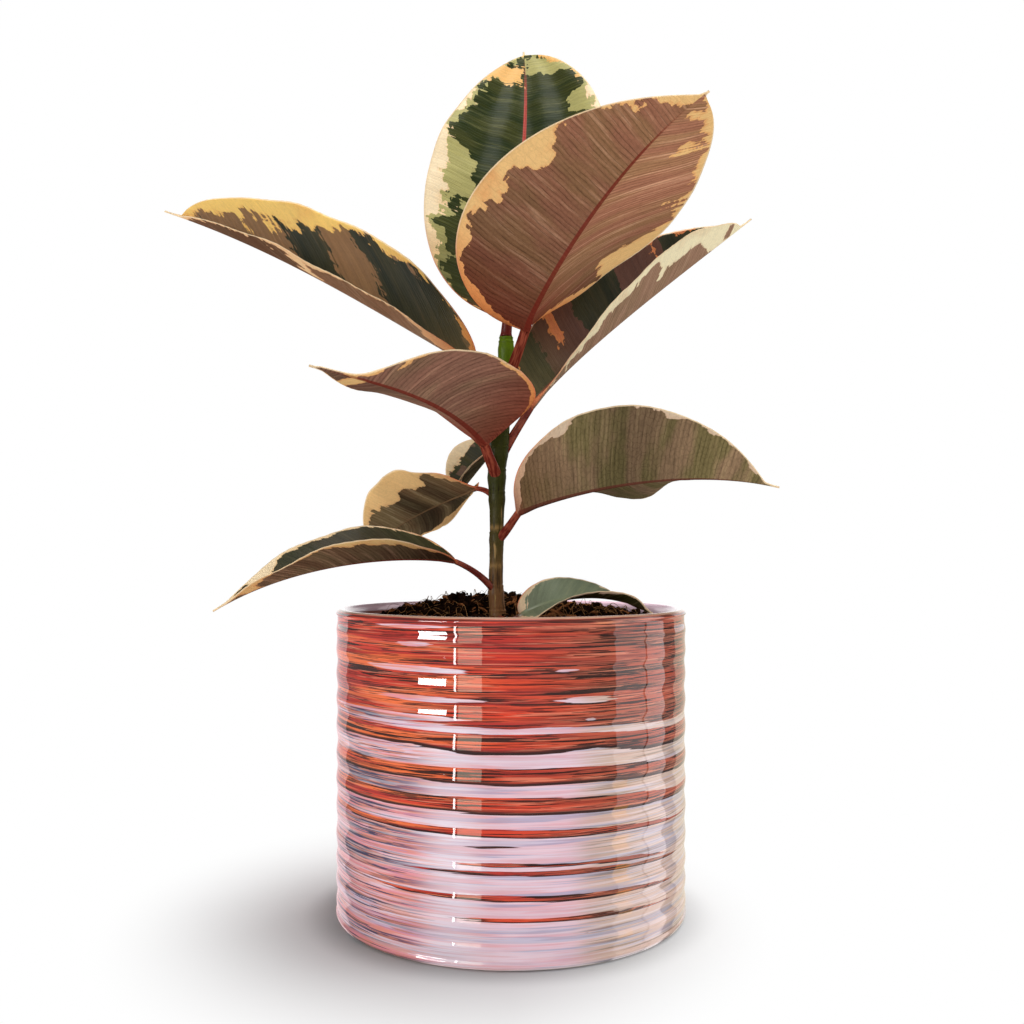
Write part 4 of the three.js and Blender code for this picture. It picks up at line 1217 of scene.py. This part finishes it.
def leaf_stations(leaf, settings):
    """Points along the stalk (t from -1 to 0) and the midrib (t from 0 to 1), and the leaf's
    own directions at each: tangent, up and side"""
    stalk_t = np.arange(settings.stalk_rows) / settings.stalk_rows
    stalk, _ = bezier(leaf["stalk"], stalk_t)
    even = np.arange(settings.blade_rows + 1) / settings.blade_rows
    blade_t = 0.55 * even + 0.45 * (0.5 - 0.5 * np.cos(np.pi * even))
    midrib, length = bezier(leaf["midrib"], blade_t)
    at = np.concatenate([stalk, midrib])
    t = np.concatenate([stalk_t - 1, blade_t])
    tangent = unit(np.gradient(at, axis=0))
    face = np.array(leaf["face"], float)
    up = unit(face - np.sum(face * tangent, -1, keepdims=True) * tangent)
    up = turned(up, tangent, np.radians(leaf.get("twist", 0)) * (np.clip(t, 0, 1) - 0.5))
    return at, t, up, np.cross(up, tangent), length


def zone_field(half, zone, t, share, width, vein, length):
    """Distance in mm inside a zone of a half: the part given from the margin inwards, and
    the patches, whose ends run along the side veins"""
    field = np.full(share.shape, OUTSIDE_ZONE)
    if zone in half:
        reach = steps(half[zone], t)
        field = width * (share - 1 + reach) + WHOLLY_PALE_GAIN * np.maximum(0, reach - WHOLLY_PALE)
    for start, end, inner, outer in half.get(zone + "_patches", []):
        middle = min(1, (inner + outer) / 2)
        first, last = (edge * length - vein_run(half, half_width(half, np.array(edge)) * middle,
                                                middle) for edge in (start, end))
        patch = np.minimum(vein - first, last - vein)
        patch = np.minimum(patch, np.minimum(share - inner, outer - share) * width)
        field = np.maximum(field, patch if inner > 0 else np.minimum(patch, vein - first))
    return field


def vein_run(half, out, share):
    """How far in mm a side vein has run forward at a distance from the midrib"""
    return half["slant"] * out * (1 + 0.35 * share)


def leaf_half(leaf, stations, sign, settings):
    """Upper and lower points of one half of a leaf, and what its markings need to know"""
    at, t_all, up, side, length = stations
    half = {**leaf, **(leaf["l"] if sign < 0 else leaf["r"])}
    t = np.clip(t_all, 0, 1)[:, None]
    on_blade = t_all[:, None] > 0
    opened = smooth(t / BASE_SHARE)
    radius = leaf["thick"] + STALK_FLARE * smooth(-t_all)[:, None]
    width = np.maximum(half_width(half, t), (1 - opened) * radius)
    width = width * (1 - opened + opened * steps(half.get("trim", [1, 1]), t))
    rib = np.maximum(RIB_LEAST, RIB_SHARE * leaf["thick"] * (1 - t) ** RIB_TAPER)
    # columns gather in the midrib and spread over the blade
    column = np.arange(settings.columns + 1)[None] / settings.columns
    rib_columns = settings.rib_columns / settings.columns
    rib_reach = np.minimum(1.5 * rib / width, 0.6)
    inner = column / rib_columns * rib_reach
    outer = rib_reach + (column - rib_columns) / (1 - rib_columns) * (1 - rib_reach)
    on_leaf = np.where(column < rib_columns, inner, outer)
    share = (1 - opened) * np.sin(np.pi / 2 * column) + opened * on_leaf
    lift = np.where(on_blade, np.radians(along(half["fold"], t)), 0)
    curl = np.where(on_blade, math.radians(half["curl"]), 0)
    turn = lift + curl * share
    bend = (lift + turn) / 2
    out = width * share
    height, count, phase = half.get("wave", (0, 0, 0))
    fade = np.clip((1 - t) / RIPPLE_FALL, 0, 1) * np.clip(t / RIPPLE_RISE, 0, 1)
    ripple = height * share ** 2 * np.sin(2 * np.pi * (count * t + phase)) * fade
    vein = t * length - vein_run(half, out, share)
    ripple = ripple + blade_relief(half, vein, length, share, out, leaf["seed"] + sign) * fade
    side, up = side[:, None], up[:, None]
    middle = at[:, None] + side * (sign * out * np.cos(bend))[..., None]
    middle = middle + up * (out * np.sin(bend) + ripple)[..., None]
    normal = up * np.cos(turn)[..., None] - side * (sign * np.sin(turn))[..., None]
    skin = BLADE_THICKNESS / 2 * (1 - 0.45 * share ** 6) * (0.75 + 0.25 * (1 - opened))
    skin = skin * np.sqrt(np.clip(1.02 - share ** 14, 0.02, 1))
    circle = np.maximum(0, np.sqrt(np.maximum(0, radius ** 2 - out ** 2)) - skin)
    ridge = rib * (1 - smooth(out / (1.25 * rib))) * (1 - t)
    groove = 0.3 * rib * np.exp(-(out / (0.55 * rib)) ** 2) * opened * (1 - 0.7 * t)
    upper_lift = skin + circle * (1 - opened) - groove
    lower_lift = skin + circle * (1 - opened) + ridge * opened * MIDRIB_SHARE * 1.3
    place = [np.broadcast_to(t_all[:, None], out.shape), share, out - 0.8 * rib]
    veins = [vein, out * sign, width - out]
    dark, pale, middle_zone = (zone_field(half, zone, t, share, width, vein,
                                          length) for zone in ("dark", "pale", "middle"))
    pale, middle_zone = np.minimum(pale, -dark), np.minimum(middle_zone, -dark)
    # light is partly the half's own tone and partly painted light and shade along it
    light = along(half.get("light", [1, 1]), np.clip(vein / length + 0.1 * half["slant"], 0, 1))
    return {"upper": middle + normal * upper_lift[..., None],
            "lower": middle - normal * lower_lift[..., None], "leaf_place": np.stack(place, -1),
            "leaf_vein": np.stack(veins, -1), "leaf_tone_and_shading": np.stack([pale, middle_zone, light], -1),
            }


def blade_relief(half, vein, length, share, out, seed):
    """Gentle swells of the blade and the creases along some side veins, in mm"""
    relief = 0.5 * np.sin(vein * 0.12 + seed * 2.1) * share
    relief = relief + 0.3 * np.sin(vein * 0.23 + out * 0.15 + seed)
    relief = relief + 0.06 * np.sin(vein * 2 * np.pi / 5.2 + 2 * np.sin(vein * 0.13 + seed))
    relief = relief + half.get("swell", 0) * np.sin(2 * np.pi * (1.7 * share - 0.15))
    for place, height, wide in half.get("pleats", []):
        off = (vein - place * length) / wide
        relief = relief + height * np.where(off < 0, np.exp(off), np.exp(-off * 4)) * share
    return relief * smooth(out / 6)


def make_leaf(leaf, settings):
    stations = leaf_stations(leaf, settings)
    halves = {sign: leaf_half(leaf, stations, sign, settings) for sign in (-1, 1)}
    rows = len(stations[0])
    columns = settings.columns

    def across(label):
        """One row of values from the left margin to the right one"""
        return np.concatenate([halves[-1][label][:, :0:-1], halves[1][label]], axis=1)

    upper, lower = across("upper"), across("lower")[:, ::-1]
    points = np.concatenate([upper, lower], axis=1)
    count = points.shape[1]
    faces = tube_faces(rows, count)[:-2]
    face_material = [0 if j < 2 * columns else 1 for _ in range(rows - 1) for j in range(count)]
    last = (rows - 1) * count
    for j in range(2 * columns):
        under = count - 1 - j
        faces.append((j + 1, under - 1, under, j))
        faces.append((last + j, last + under, last + under - 1, last + j + 1))
        face_material += [1, 1]
    attributes = {}
    for label in ("leaf_place", "leaf_vein", "leaf_tone_and_shading"):
        row = across(label)
        attributes[label] = np.concatenate([row, row[:, ::-1]], axis=1).reshape(-1, 3)
    materials = [leaf_material(leaf, side, settings) for side in ("upper", "under")]
    make_piece(leaf["name"] + "_blade", points.reshape(-1, 3), faces, materials,
               leaf["name"], face_material, attributes)


def leaf_material(leaf, side, settings):
    """One face of a leaf: its zones, veins, midrib, margin and stalk"""
    colours = {key: rgb(*value) for key, value in leaf[side].items()}
    top = side == "upper"
    seed = float(leaf["seed"])
    material, w, shader = new_material(leaf["name"] + "_" + side)
    t, share, off_rib = w.read("leaf_place")
    vein, across, rim = w.read("leaf_vein")
    pale_field, middle_field, light = w.read("leaf_tone_and_shading")
    marks = w.group(effect("markings"), pale=pale_field, middle=middle_field, along=vein,
                    across=across, seed=seed * 3.7, jag=leaf["jag"])
    lines = w.group(effect("veins"), along=vein, across=across, seed=seed * 1.9, spacing=1.6)
    soft = w.mottling(w.place(), 0.016, 0.0005)
    base = w.ramp(t, 0.3, 0.0)
    hue = w.noise(w.sheet(vein, 0.09, across, 0.03, seed), detail=3.0)
    body = w.mix(w.ramp(hue, 0.4, 0.6), colours["dark"], colours["tint"])
    patch = w.times(w.ramp(lines["Stripe"], 0.5, 0.72), 0.15 if top else 0.45)
    body = w.mix(w.larger(marks["Middle zone"], patch), body, colours["middle"])
    body = w.mix(w.times(base, 0.75), body, colours["base"])
    body = w.scaled(body, w.times_plus(lines["Stripe"], 0.9, 0.6))
    line_depth, net_depth = (0.06, 0.06) if top else (leaf.get("line", 0.42), leaf.get("net", 0.1))
    dimming = w.times_plus(lines["Line"], -line_depth, 1.0)
    dimming = w.times_plus(lines["Net"], -net_depth, dimming)
    # light, from the half's list: partly its own tone, partly painted light and shade
    body = w.scaled(w.scaled(body, dimming), light)
    warm = w.larger(w.times(marks["Edge"], 0.45), base)
    ripe = leaf.get("ripe", 0.98)
    warm = w.larger(warm, w.ramp(t, ripe, ripe + 0.1))
    warm = w.larger(warm, w.times(w.ramp(soft["Cloud"], 0.5, 0.75), 0.5))
    pale = w.mix(warm, colours["pale"], colours["warm"])
    pale = w.scaled(pale, w.times_plus(lines["Net"], -0.07, 1.0))
    pale = w.scaled(pale, w.times_plus(lines["Stripe"], 0.24, 0.9))
    colour = w.mix(marks["Pale zone"], body, pale)
    rim_colour = w.mix(base, tuple(settings.margin), rgb(226, 120, 74))
    colour = w.mix(w.times(w.ramp(rim, 0.75, 0.35), 0.85), colour, rim_colour)
    edge = 0.35 if top else 0.0
    rib = w.times(w.ramp(off_rib, edge + 0.25, edge - 0.1), w.ramp(t, 0.98, 0.7))
    rib_colour = w.scaled(colours["rib"], w.times_plus(soft["Cloud"], 0.5, 0.75))
    colour = w.mix(w.times(rib, 0.85), colour, rib_colour)
    stalk = w.ramp(t, 0.05, -0.04)
    streak = w.noise(w.join(w.times(t, 4.0), w.times(across, 1.3), seed), detail=2.0)
    stalk_colour = w.mix(w.ramp(streak, 0.35, 0.65), tuple(settings.stalk_dark),
                         tuple(settings.stalk_light))
    colour = w.mix(stalk, colour, stalk_colour)
    colour = w.scaled(colour, w.times_plus(soft["Grain"], 0.24, 0.88))
    roughness = w.times_plus(soft["Grain"], 0.12, leaf["gloss"] if top else 0.6)
    relief = w.times(lines["Relief"], -0.6 if top else 1.0)
    finish_surface(w, shader, colour, roughness, relief, 0.0002, coat=0.22 if top else 0.02,
                   coat_roughness=0.18 if top else 0.35, strength=0.6,
                   specular=0.25 if top else 0.0)
    return material


# Stage


def make_camera(settings):
    """A level camera in front of the plant"""
    data = bpy.data.cameras.new("camera")
    data.lens = settings.lens
    data.sensor_width = 36
    data.shift_x = 0.001
    data.shift_y = 0.0378
    camera = new_object("camera", data)
    camera.location = (0, -settings.distance, settings.eye_height)
    camera.rotation_euler = (math.pi / 2, 0, 0)
    bpy.context.scene.camera = camera


def add_panel_light(name, azimuth, elevation, distance, width, height, power, mirror=True,
                    colour=(1, 1, 1)):
    """A soft box light that faces the plant from an azimuth and elevation in degrees. One
    that is only a mirror light shows in the glaze and on the leaves but lights nothing else"""
    data = bpy.data.lights.new(name, "AREA")
    data.shape = "RECTANGLE"
    data.size, data.size_y = width, height
    data.energy = power
    data.color = colour
    light = new_object(name, data)
    a, e = math.radians(azimuth), math.radians(elevation)
    aim = Vector((0, 0, 0.12))
    away = Vector((math.sin(a) * math.cos(e), -math.cos(a) * math.cos(e), math.sin(e)))
    light.location = aim + away * distance
    light.rotation_euler = (-away).to_track_quat("-Z", "Y").to_euler()
    light.visible_camera = False
    light.visible_diffuse = not mirror
    light.visible_glossy = mirror


# What the pot shows on its right: soft panels and a small orange one on the floor. Each is
# given by the azimuths on the pot between which the camera sees it.
PANELS = [(32, 44, (1.2, 1.1, 1.1)), (44.8, 54, (1.6, 1.45, 1.45))]
ORANGE_PATCH = (32, 37.5, (2.3, 1.2, 0.4))
BACK_FROM = 62


def reflected(azimuth, settings):
    """Azimuth in radians that the camera sees in the pot at an azimuth in degrees"""
    turn, radius = math.radians(azimuth), POT_RADIUS * MM
    side = radius * math.sin(turn)
    return 2 * turn + math.atan2(side, settings.distance - radius * math.cos(turn))


def past_line(w, place, azimuth, settings):
    """1 on the floor beyond the line that the pot shows at an azimuth"""
    turn, ahead = math.radians(azimuth), reflected(azimuth, settings)
    start = Vector((math.sin(turn), -math.cos(turn))) * POT_RADIUS * MM
    normal = Vector((math.cos(ahead), math.sin(ahead)))
    along_normal = w.times_plus(place[0], normal.x, w.times(place[1], normal.y))
    return w.ramp(w.minus(along_normal, start.dot(normal)), -0.001, 0.001)


def wedge(w, place, start, end, settings):
    """1 on the part of the floor that the pot shows between two azimuths"""
    return w.times(past_line(w, place, start, settings),
                   w.minus(1.0, past_line(w, place, end, settings)))


def make_world(settings):
    """White for the camera; a bright back, top and panels and a dark front in reflections;
    soft light from the front left on everything else"""
    world = bpy.data.worlds.new("studio")
    w = empty_tree(world)
    x, y, z = w.split(w.node("ShaderNodeTexCoord").outputs["Generated"])
    path = w.node("ShaderNodeLightPath").outputs
    azimuth = w.math("ARCTAN2", x, w.times(y, -1.0))
    edge = reflected(BACK_FROM, settings)
    back = w.times(w.ramp(w.math("ABSOLUTE", azimuth), edge - 0.02, edge), w.ramp(z, 0.4, 0.2))
    ahead = w.times_plus(w.math("ABSOLUTE", x), -0.95, w.times(y, -1.0))
    above = w.times(w.ramp(z, 0.84, 0.92), w.ramp(ahead, -0.05, 0.04))
    sheen = w.times(w.ramp(z, 0.6, 0.7), w.ramp(w.math("ABSOLUTE", x), 0.35, 0.2))
    above = w.larger(above, w.times(sheen, w.ramp(y, 0.0, -0.4, 0.0, 0.35)))
    behind = w.times(w.ramp(z, 0.91, 0.95), w.ramp(y, 0.05, 0.15))
    above = w.larger(above, w.times(behind, 0.8))
    gloss = w.grey(w.times_plus(above, settings.overhead,
                                w.times_plus(back, settings.backdrop, 0.06)))
    for start, end, colour in PANELS:
        first, last = reflected(start, settings), reflected(end, settings)
        share = w.times(w.ramp(azimuth, first - 0.01, first), w.ramp(azimuth, last + 0.01, last))
        share = w.times(share, w.ramp(z, 0.6, 0.55))
        gloss = w.mix(share, gloss, (*colour, 1))
    facing = w.times_plus(x, 0.5, w.times(y, 0.87))
    front = w.times(w.ramp(facing, 0.3, -0.8), w.ramp(z, 0.8, 0.2))
    soft = w.times_plus(front, settings.front, settings.fill)
    light = w.mix(path["Is Glossy Ray"], w.grey(soft), gloss)
    light = w.mix(path["Is Camera Ray"], light, (1, 1, 1, 1))
    background = w.node("ShaderNodeBackground", {"Color": light, "Strength": 1.0})
    w.node("ShaderNodeOutputWorld", {"Surface": background.outputs[0]})
    bpy.context.scene.world = world


def floor_material(settings):
    """A matt white floor, painted darker round the pot's foot as a contact shadow. Further out it
    glows an even white that fades that shadow out, and sooner to the right, which paints light
    over the shadow there. In reflections it is dim in front of the pot and carries on the panels
    and the bright back."""
    material = bpy.data.materials.new("floor")
    w = empty_tree(material)
    place = w.place()
    parts = w.split(place)
    reach = w.node("ShaderNodeVectorMath", {0: place}, operation="LENGTH").outputs["Value"]
    path = w.node("ShaderNodeLightPath").outputs
    # painted contact shadow: the floor is darker within about 8 cm of the pot's axis
    albedo_with_painted_shadow = w.grey(w.ramp(reach, 0.07, 0.085, 0.48, 0.68))
    matt = w.node("ShaderNodeBsdfDiffuse", {"Color": albedo_with_painted_shadow}).outputs[0]
    white = w.node("ShaderNodeEmission", {"Color": (1, 1, 1, 1), "Strength": 1.0}).outputs[0]
    # painted light: the white glow starts nearer the pot on the right, over the shadow there
    painted_light_to_right = w.times(w.larger(parts[0], 0.0), 0.55)
    far = w.ramp(w.plus(reach, painted_light_to_right), 0.07, 0.163)
    lit = w.node("ShaderNodeMixShader", {0: far, 1: matt, 2: white}).outputs[0]
    shown = w.grey(settings.floor_glow)
    back = wedge(w, parts, BACK_FROM, -BACK_FROM, settings)
    tint = w.mix(w.ramp(parts[0], -0.05, 0.05), (0.85, 0.66, 0.68, 1), (0.72, 0.64, 0.52, 1))
    shown = w.mix(back, shown, w.scaled(tint, settings.backdrop))
    for start, end, colour in PANELS:
        shown = w.mix(wedge(w, parts, start, end, settings), shown, (*colour, 1))
    start, end, colour = ORANGE_PATCH
    ring = w.times(w.ramp(reach, 0.24, 0.22), w.ramp(reach, 0.1, 0.12))
    patch = w.times(wedge(w, parts, start, end, settings), ring)
    shown = w.mix(patch, shown, (*colour, 1))
    mirror = w.node("ShaderNodeEmission", {"Color": shown, "Strength": 1.0}).outputs[0]
    seen = w.node("ShaderNodeMixShader", {0: path["Is Glossy Ray"], 1: lit, 2: mirror}).outputs[0]
    w.node("ShaderNodeOutputMaterial", {"Surface": seen})
    return material


def make_floor(settings):
    """A wide level floor of a few large squares"""
    reach, count = 4.0, 4
    line = np.linspace(-reach, reach, count + 1)
    points = [(x, y, 0.0) for y in line for x in line]
    faces = [(j * (count + 1) + i, j * (count + 1) + i + 1, (j + 1) * (count + 1) + i + 1,
              (j + 1) * (count + 1) + i) for j in range(count) for i in range(count)]
    mesh = bpy.data.meshes.new("floor")
    mesh.from_pydata(points, [], faces)
    mesh.materials.append(floor_material(settings))
    new_object("floor", mesh)


def make_stage(settings):
    bpy.context.scene.view_settings.view_transform = "Standard"
    make_camera(settings)
    make_world(settings)
    make_floor(settings)
    add_panel_light("key", 120, 70, 1.5, 1.2, 1.2, settings.key, False)
    add_panel_light("window", -49.5, 10, 1.5, 0.5, 0.36, settings.window)
    add_panel_light("glow", -24, 2, 0.6, 0.15, 0.5, settings.glow, True, (1, 0.93, 0.74))
    add_panel_light("strip", -33, 2, 0.6, 0.014, 0.5, settings.strip)


# Settings, operators and panel


def colour_setting(name, description, screen_colour):
    """A colour that can be changed, from a screen colour"""
    return FloatVectorProperty(name=name, description=description, default=rgb(*screen_colour),
                               size=4, min=0, max=1, subtype="COLOR")


class PotSettings(bpy.types.PropertyGroup):
    """The pot's section and glaze"""
    wall: FloatProperty(name="Wall", description="Wall thickness", default=0.004, unit="LENGTH")
    floor: FloatProperty(name="Floor", description="Height of the inside floor", default=0.007,
                         unit="LENGTH")
    foot_round: FloatProperty(name="Foot round", description="Radius of the foot", default=0.0025,
                              unit="LENGTH")
    rib_depth: FloatProperty(name="Rib depth", description="Depth of the grooves", default=0.0005,
                             unit="LENGTH")
    row: FloatProperty(name="Row", description="Height of one mesh row", default=0.00045,
                       unit="LENGTH")
    sides: IntProperty(name="Sides", description="Mesh points round the pot", default=240, min=24)
    gloss: FloatProperty(name="Gloss", description="Refraction index of the lustre", default=1.7)
    red: colour_setting("Red", "Main red of the glaze", GLAZE["red"])
    orange: colour_setting("Orange", "Orange streaks on the left", GLAZE["orange"])
    copper: colour_setting("Copper", "Copper streaks on the right and the rim", GLAZE["copper"])
    pearl: colour_setting("Pearl", "Pale glaze of the lower part and the inside", GLAZE["pearl"])
    rose: colour_setting("Rose", "Rosy streaks in the pale glaze", GLAZE["rose"])
    blue: colour_setting("Blue", "Blue streaks in the pale glaze", GLAZE["blue"])


class SoilSettings(bpy.types.PropertyGroup):
    """What lies on the soil, and its colours"""
    crumbs: IntProperty(name="Crumbs", description="Number of loose crumbs", default=2000)
    fibres: IntProperty(name="Fibres", description="Number of loose fibres", default=260)
    seed: IntProperty(name="Seed", description="Changes where they lie", default=7)
    bed_sides: IntProperty(name="Bed sides", description="Mesh points round the bed", default=180)
    bed_rings: IntProperty(name="Bed rings", description="Mesh rings of the bed", default=62)
    bed: colour_setting("Bed", "Light colour of the bed", (28, 16, 10))
    crumb: colour_setting("Crumb", "Light colour of the crumbs", (42, 25, 16))
    bark: colour_setting("Bark", "Light colour of the bark bits", (142, 90, 54))
    fibre: colour_setting("Fibre", "Light colour of the fibres", (160, 118, 76))


class StemSettings(bpy.types.PropertyGroup):
    """How finely the stem is divided, and its colours"""
    rings: IntProperty(name="Rings", description="Mesh rings along the stem", default=420, min=12)
    sides: IntProperty(name="Sides", description="Mesh points round the stem", default=40, min=8)
    green: colour_setting("Green", "Young bark at the top", (88, 112, 12))
    brown: colour_setting("Brown", "Old bark at the foot", (134, 92, 56))


class BudSettings(bpy.types.PropertyGroup):
    """The closed bud's size and colours"""
    length: FloatProperty(name="Length", description="Length of the sheath", default=0.028,
                          unit="LENGTH")
    radius: FloatProperty(name="Radius", description="Radius near the foot", default=0.0023,
                          unit="LENGTH")
    dark: colour_setting("Dark", "Red-brown of the foot", (104, 32, 24))
    light: colour_setting("Light", "Red-brown of the tip", (156, 64, 44))


class LeafSettings(bpy.types.PropertyGroup):
    """How finely each leaf is divided, and the colours that all leaves share"""
    stalk_rows: IntProperty(name="Stalk rows", description="Rows along a stalk", default=12)
    blade_rows: IntProperty(name="Blade rows", description="Rows along a blade", default=140)
    columns: IntProperty(name="Columns", description="Columns across a half", default=24)
    rib_columns: IntProperty(name="Midrib columns", description="Of those, in the midrib",
                             default=7)
    margin: colour_setting("Margin", "The thin cream line round a blade", (248, 220, 178))
    stalk_dark: colour_setting("Stalk, dark", "Dark streaks of the stalks", (104, 36, 28))
    stalk_light: colour_setting("Stalk, light", "Light streaks of the stalks", (150, 74, 54))


class StageSettings(bpy.types.PropertyGroup):
    """Camera, light and floor"""
    lens: FloatProperty(name="Lens", description="Focal length", default=38.67, unit="CAMERA")
    distance: FloatProperty(name="Distance", description="From the pot's axis", default=0.446,
                            unit="LENGTH")
    eye_height: FloatProperty(name="Eye height", description="Above the floor", default=0.1444,
                              unit="LENGTH")
    key: FloatProperty(name="Key", description="Power of the main light", default=26, unit="POWER")
    window: FloatProperty(name="Window", description="Power of the window", default=13,
                          unit="POWER")
    strip: FloatProperty(name="Strip", description="Power of the strip light", default=0.3,
                         unit="POWER")
    glow: FloatProperty(name="Glow", description="Power of the soft box beside the strip",
                        default=0.55, unit="POWER")
    front: FloatProperty(name="Front", description="Soft light from the front", default=1.0)
    fill: FloatProperty(name="Fill", description="Soft light from all round", default=0.38)
    overhead: FloatProperty(name="Overhead", description="Top light in reflections", default=1.5)
    backdrop: FloatProperty(name="Backdrop", description="Backdrop in reflections", default=1.2)
    floor_glow: FloatProperty(name="Floor glow", description="Floor in reflections", default=0.15)


class PLANT_OT_pot(bpy.types.Operator):
    """Make the ribbed pot with its lustre glaze"""
    bl_idname = "plant.pot"
    bl_label = "Pot"

    def execute(self, context):
        make_pot(context.scene.plant_pot)
        return {"FINISHED"}


class PLANT_OT_soil(bpy.types.Operator):
    """Make the soil bed with its crumbs, bark and fibres"""
    bl_idname = "plant.soil"
    bl_label = "Soil"

    def execute(self, context):
        make_soil(context.scene.plant_soil)
        return {"FINISHED"}


class PLANT_OT_stem(bpy.types.Operator):
    """Make the stem with its leaf scars"""
    bl_idname = "plant.stem"
    bl_label = "Stem"

    def execute(self, context):
        make_stem(context.scene.plant_stem)
        return {"FINISHED"}


class PLANT_OT_bud(bpy.types.Operator):
    """Make the closed bud"""
    bl_idname = "plant.bud"
    bl_label = "Bud"

    def execute(self, context):
        make_bud(context.scene.plant_bud)
        return {"FINISHED"}


class PLANT_OT_leaves(bpy.types.Operator):
    """Make the ten leaves"""
    bl_idname = "plant.leaves"
    bl_label = "Leaves"

    def execute(self, context):
        for leaf in LEAVES:
            make_leaf(leaf, context.scene.plant_leaf)
        return {"FINISHED"}


class PLANT_OT_stage(bpy.types.Operator):
    """Make the camera, the lights and the floor"""
    bl_idname = "plant.stage"
    bl_label = "Stage"

    def execute(self, context):
        make_stage(context.scene.plant_stage)
        return {"FINISHED"}


class PLANT_PT_panel(bpy.types.Panel):
    """Lists the plant's pieces and settings"""
    bl_idname = "PLANT_PT_panel"
    bl_label = "Rubber plant"
    bl_space_type = "VIEW_3D"
    bl_region_type = "UI"
    bl_category = "Plant"

    def draw(self, context):
        for operator, settings in STEPS:
            box = self.layout.box()
            box.operator(operator)
            group = getattr(context.scene, settings)
            for key in group.__annotations__:
                box.prop(group, key)


STEPS = [
    ("plant.pot", "plant_pot"),
    ("plant.soil", "plant_soil"),
    ("plant.stem", "plant_stem"),
    ("plant.bud", "plant_bud"),
    ("plant.leaves", "plant_leaf"),
    ("plant.stage", "plant_stage"),
]
GROUPS_OF_SETTINGS = {
    "plant_pot": PotSettings, "plant_soil": SoilSettings, "plant_stem": StemSettings,
    "plant_bud": BudSettings, "plant_leaf": LeafSettings, "plant_stage": StageSettings,
}
CLASSES = [
    *GROUPS_OF_SETTINGS.values(), PLANT_OT_pot, PLANT_OT_soil, PLANT_OT_stem, PLANT_OT_bud,
    PLANT_OT_leaves, PLANT_OT_stage, PLANT_PT_panel,
]


def register():
    for made in CLASSES:
        bpy.utils.register_class(made)
    for name, group in GROUPS_OF_SETTINGS.items():
        setattr(bpy.types.Scene, name, PointerProperty(type=group))


def unregister():
    for name in GROUPS_OF_SETTINGS:
        delattr(bpy.types.Scene, name)
    for made in reversed(CLASSES):
        bpy.utils.unregister_class(made)


def main():
    register()
    for operator, _ in STEPS:
        folder, name = operator.split(".")
        getattr(getattr(bpy.ops, folder), name)()


if __name__ == "__main__":
    main()
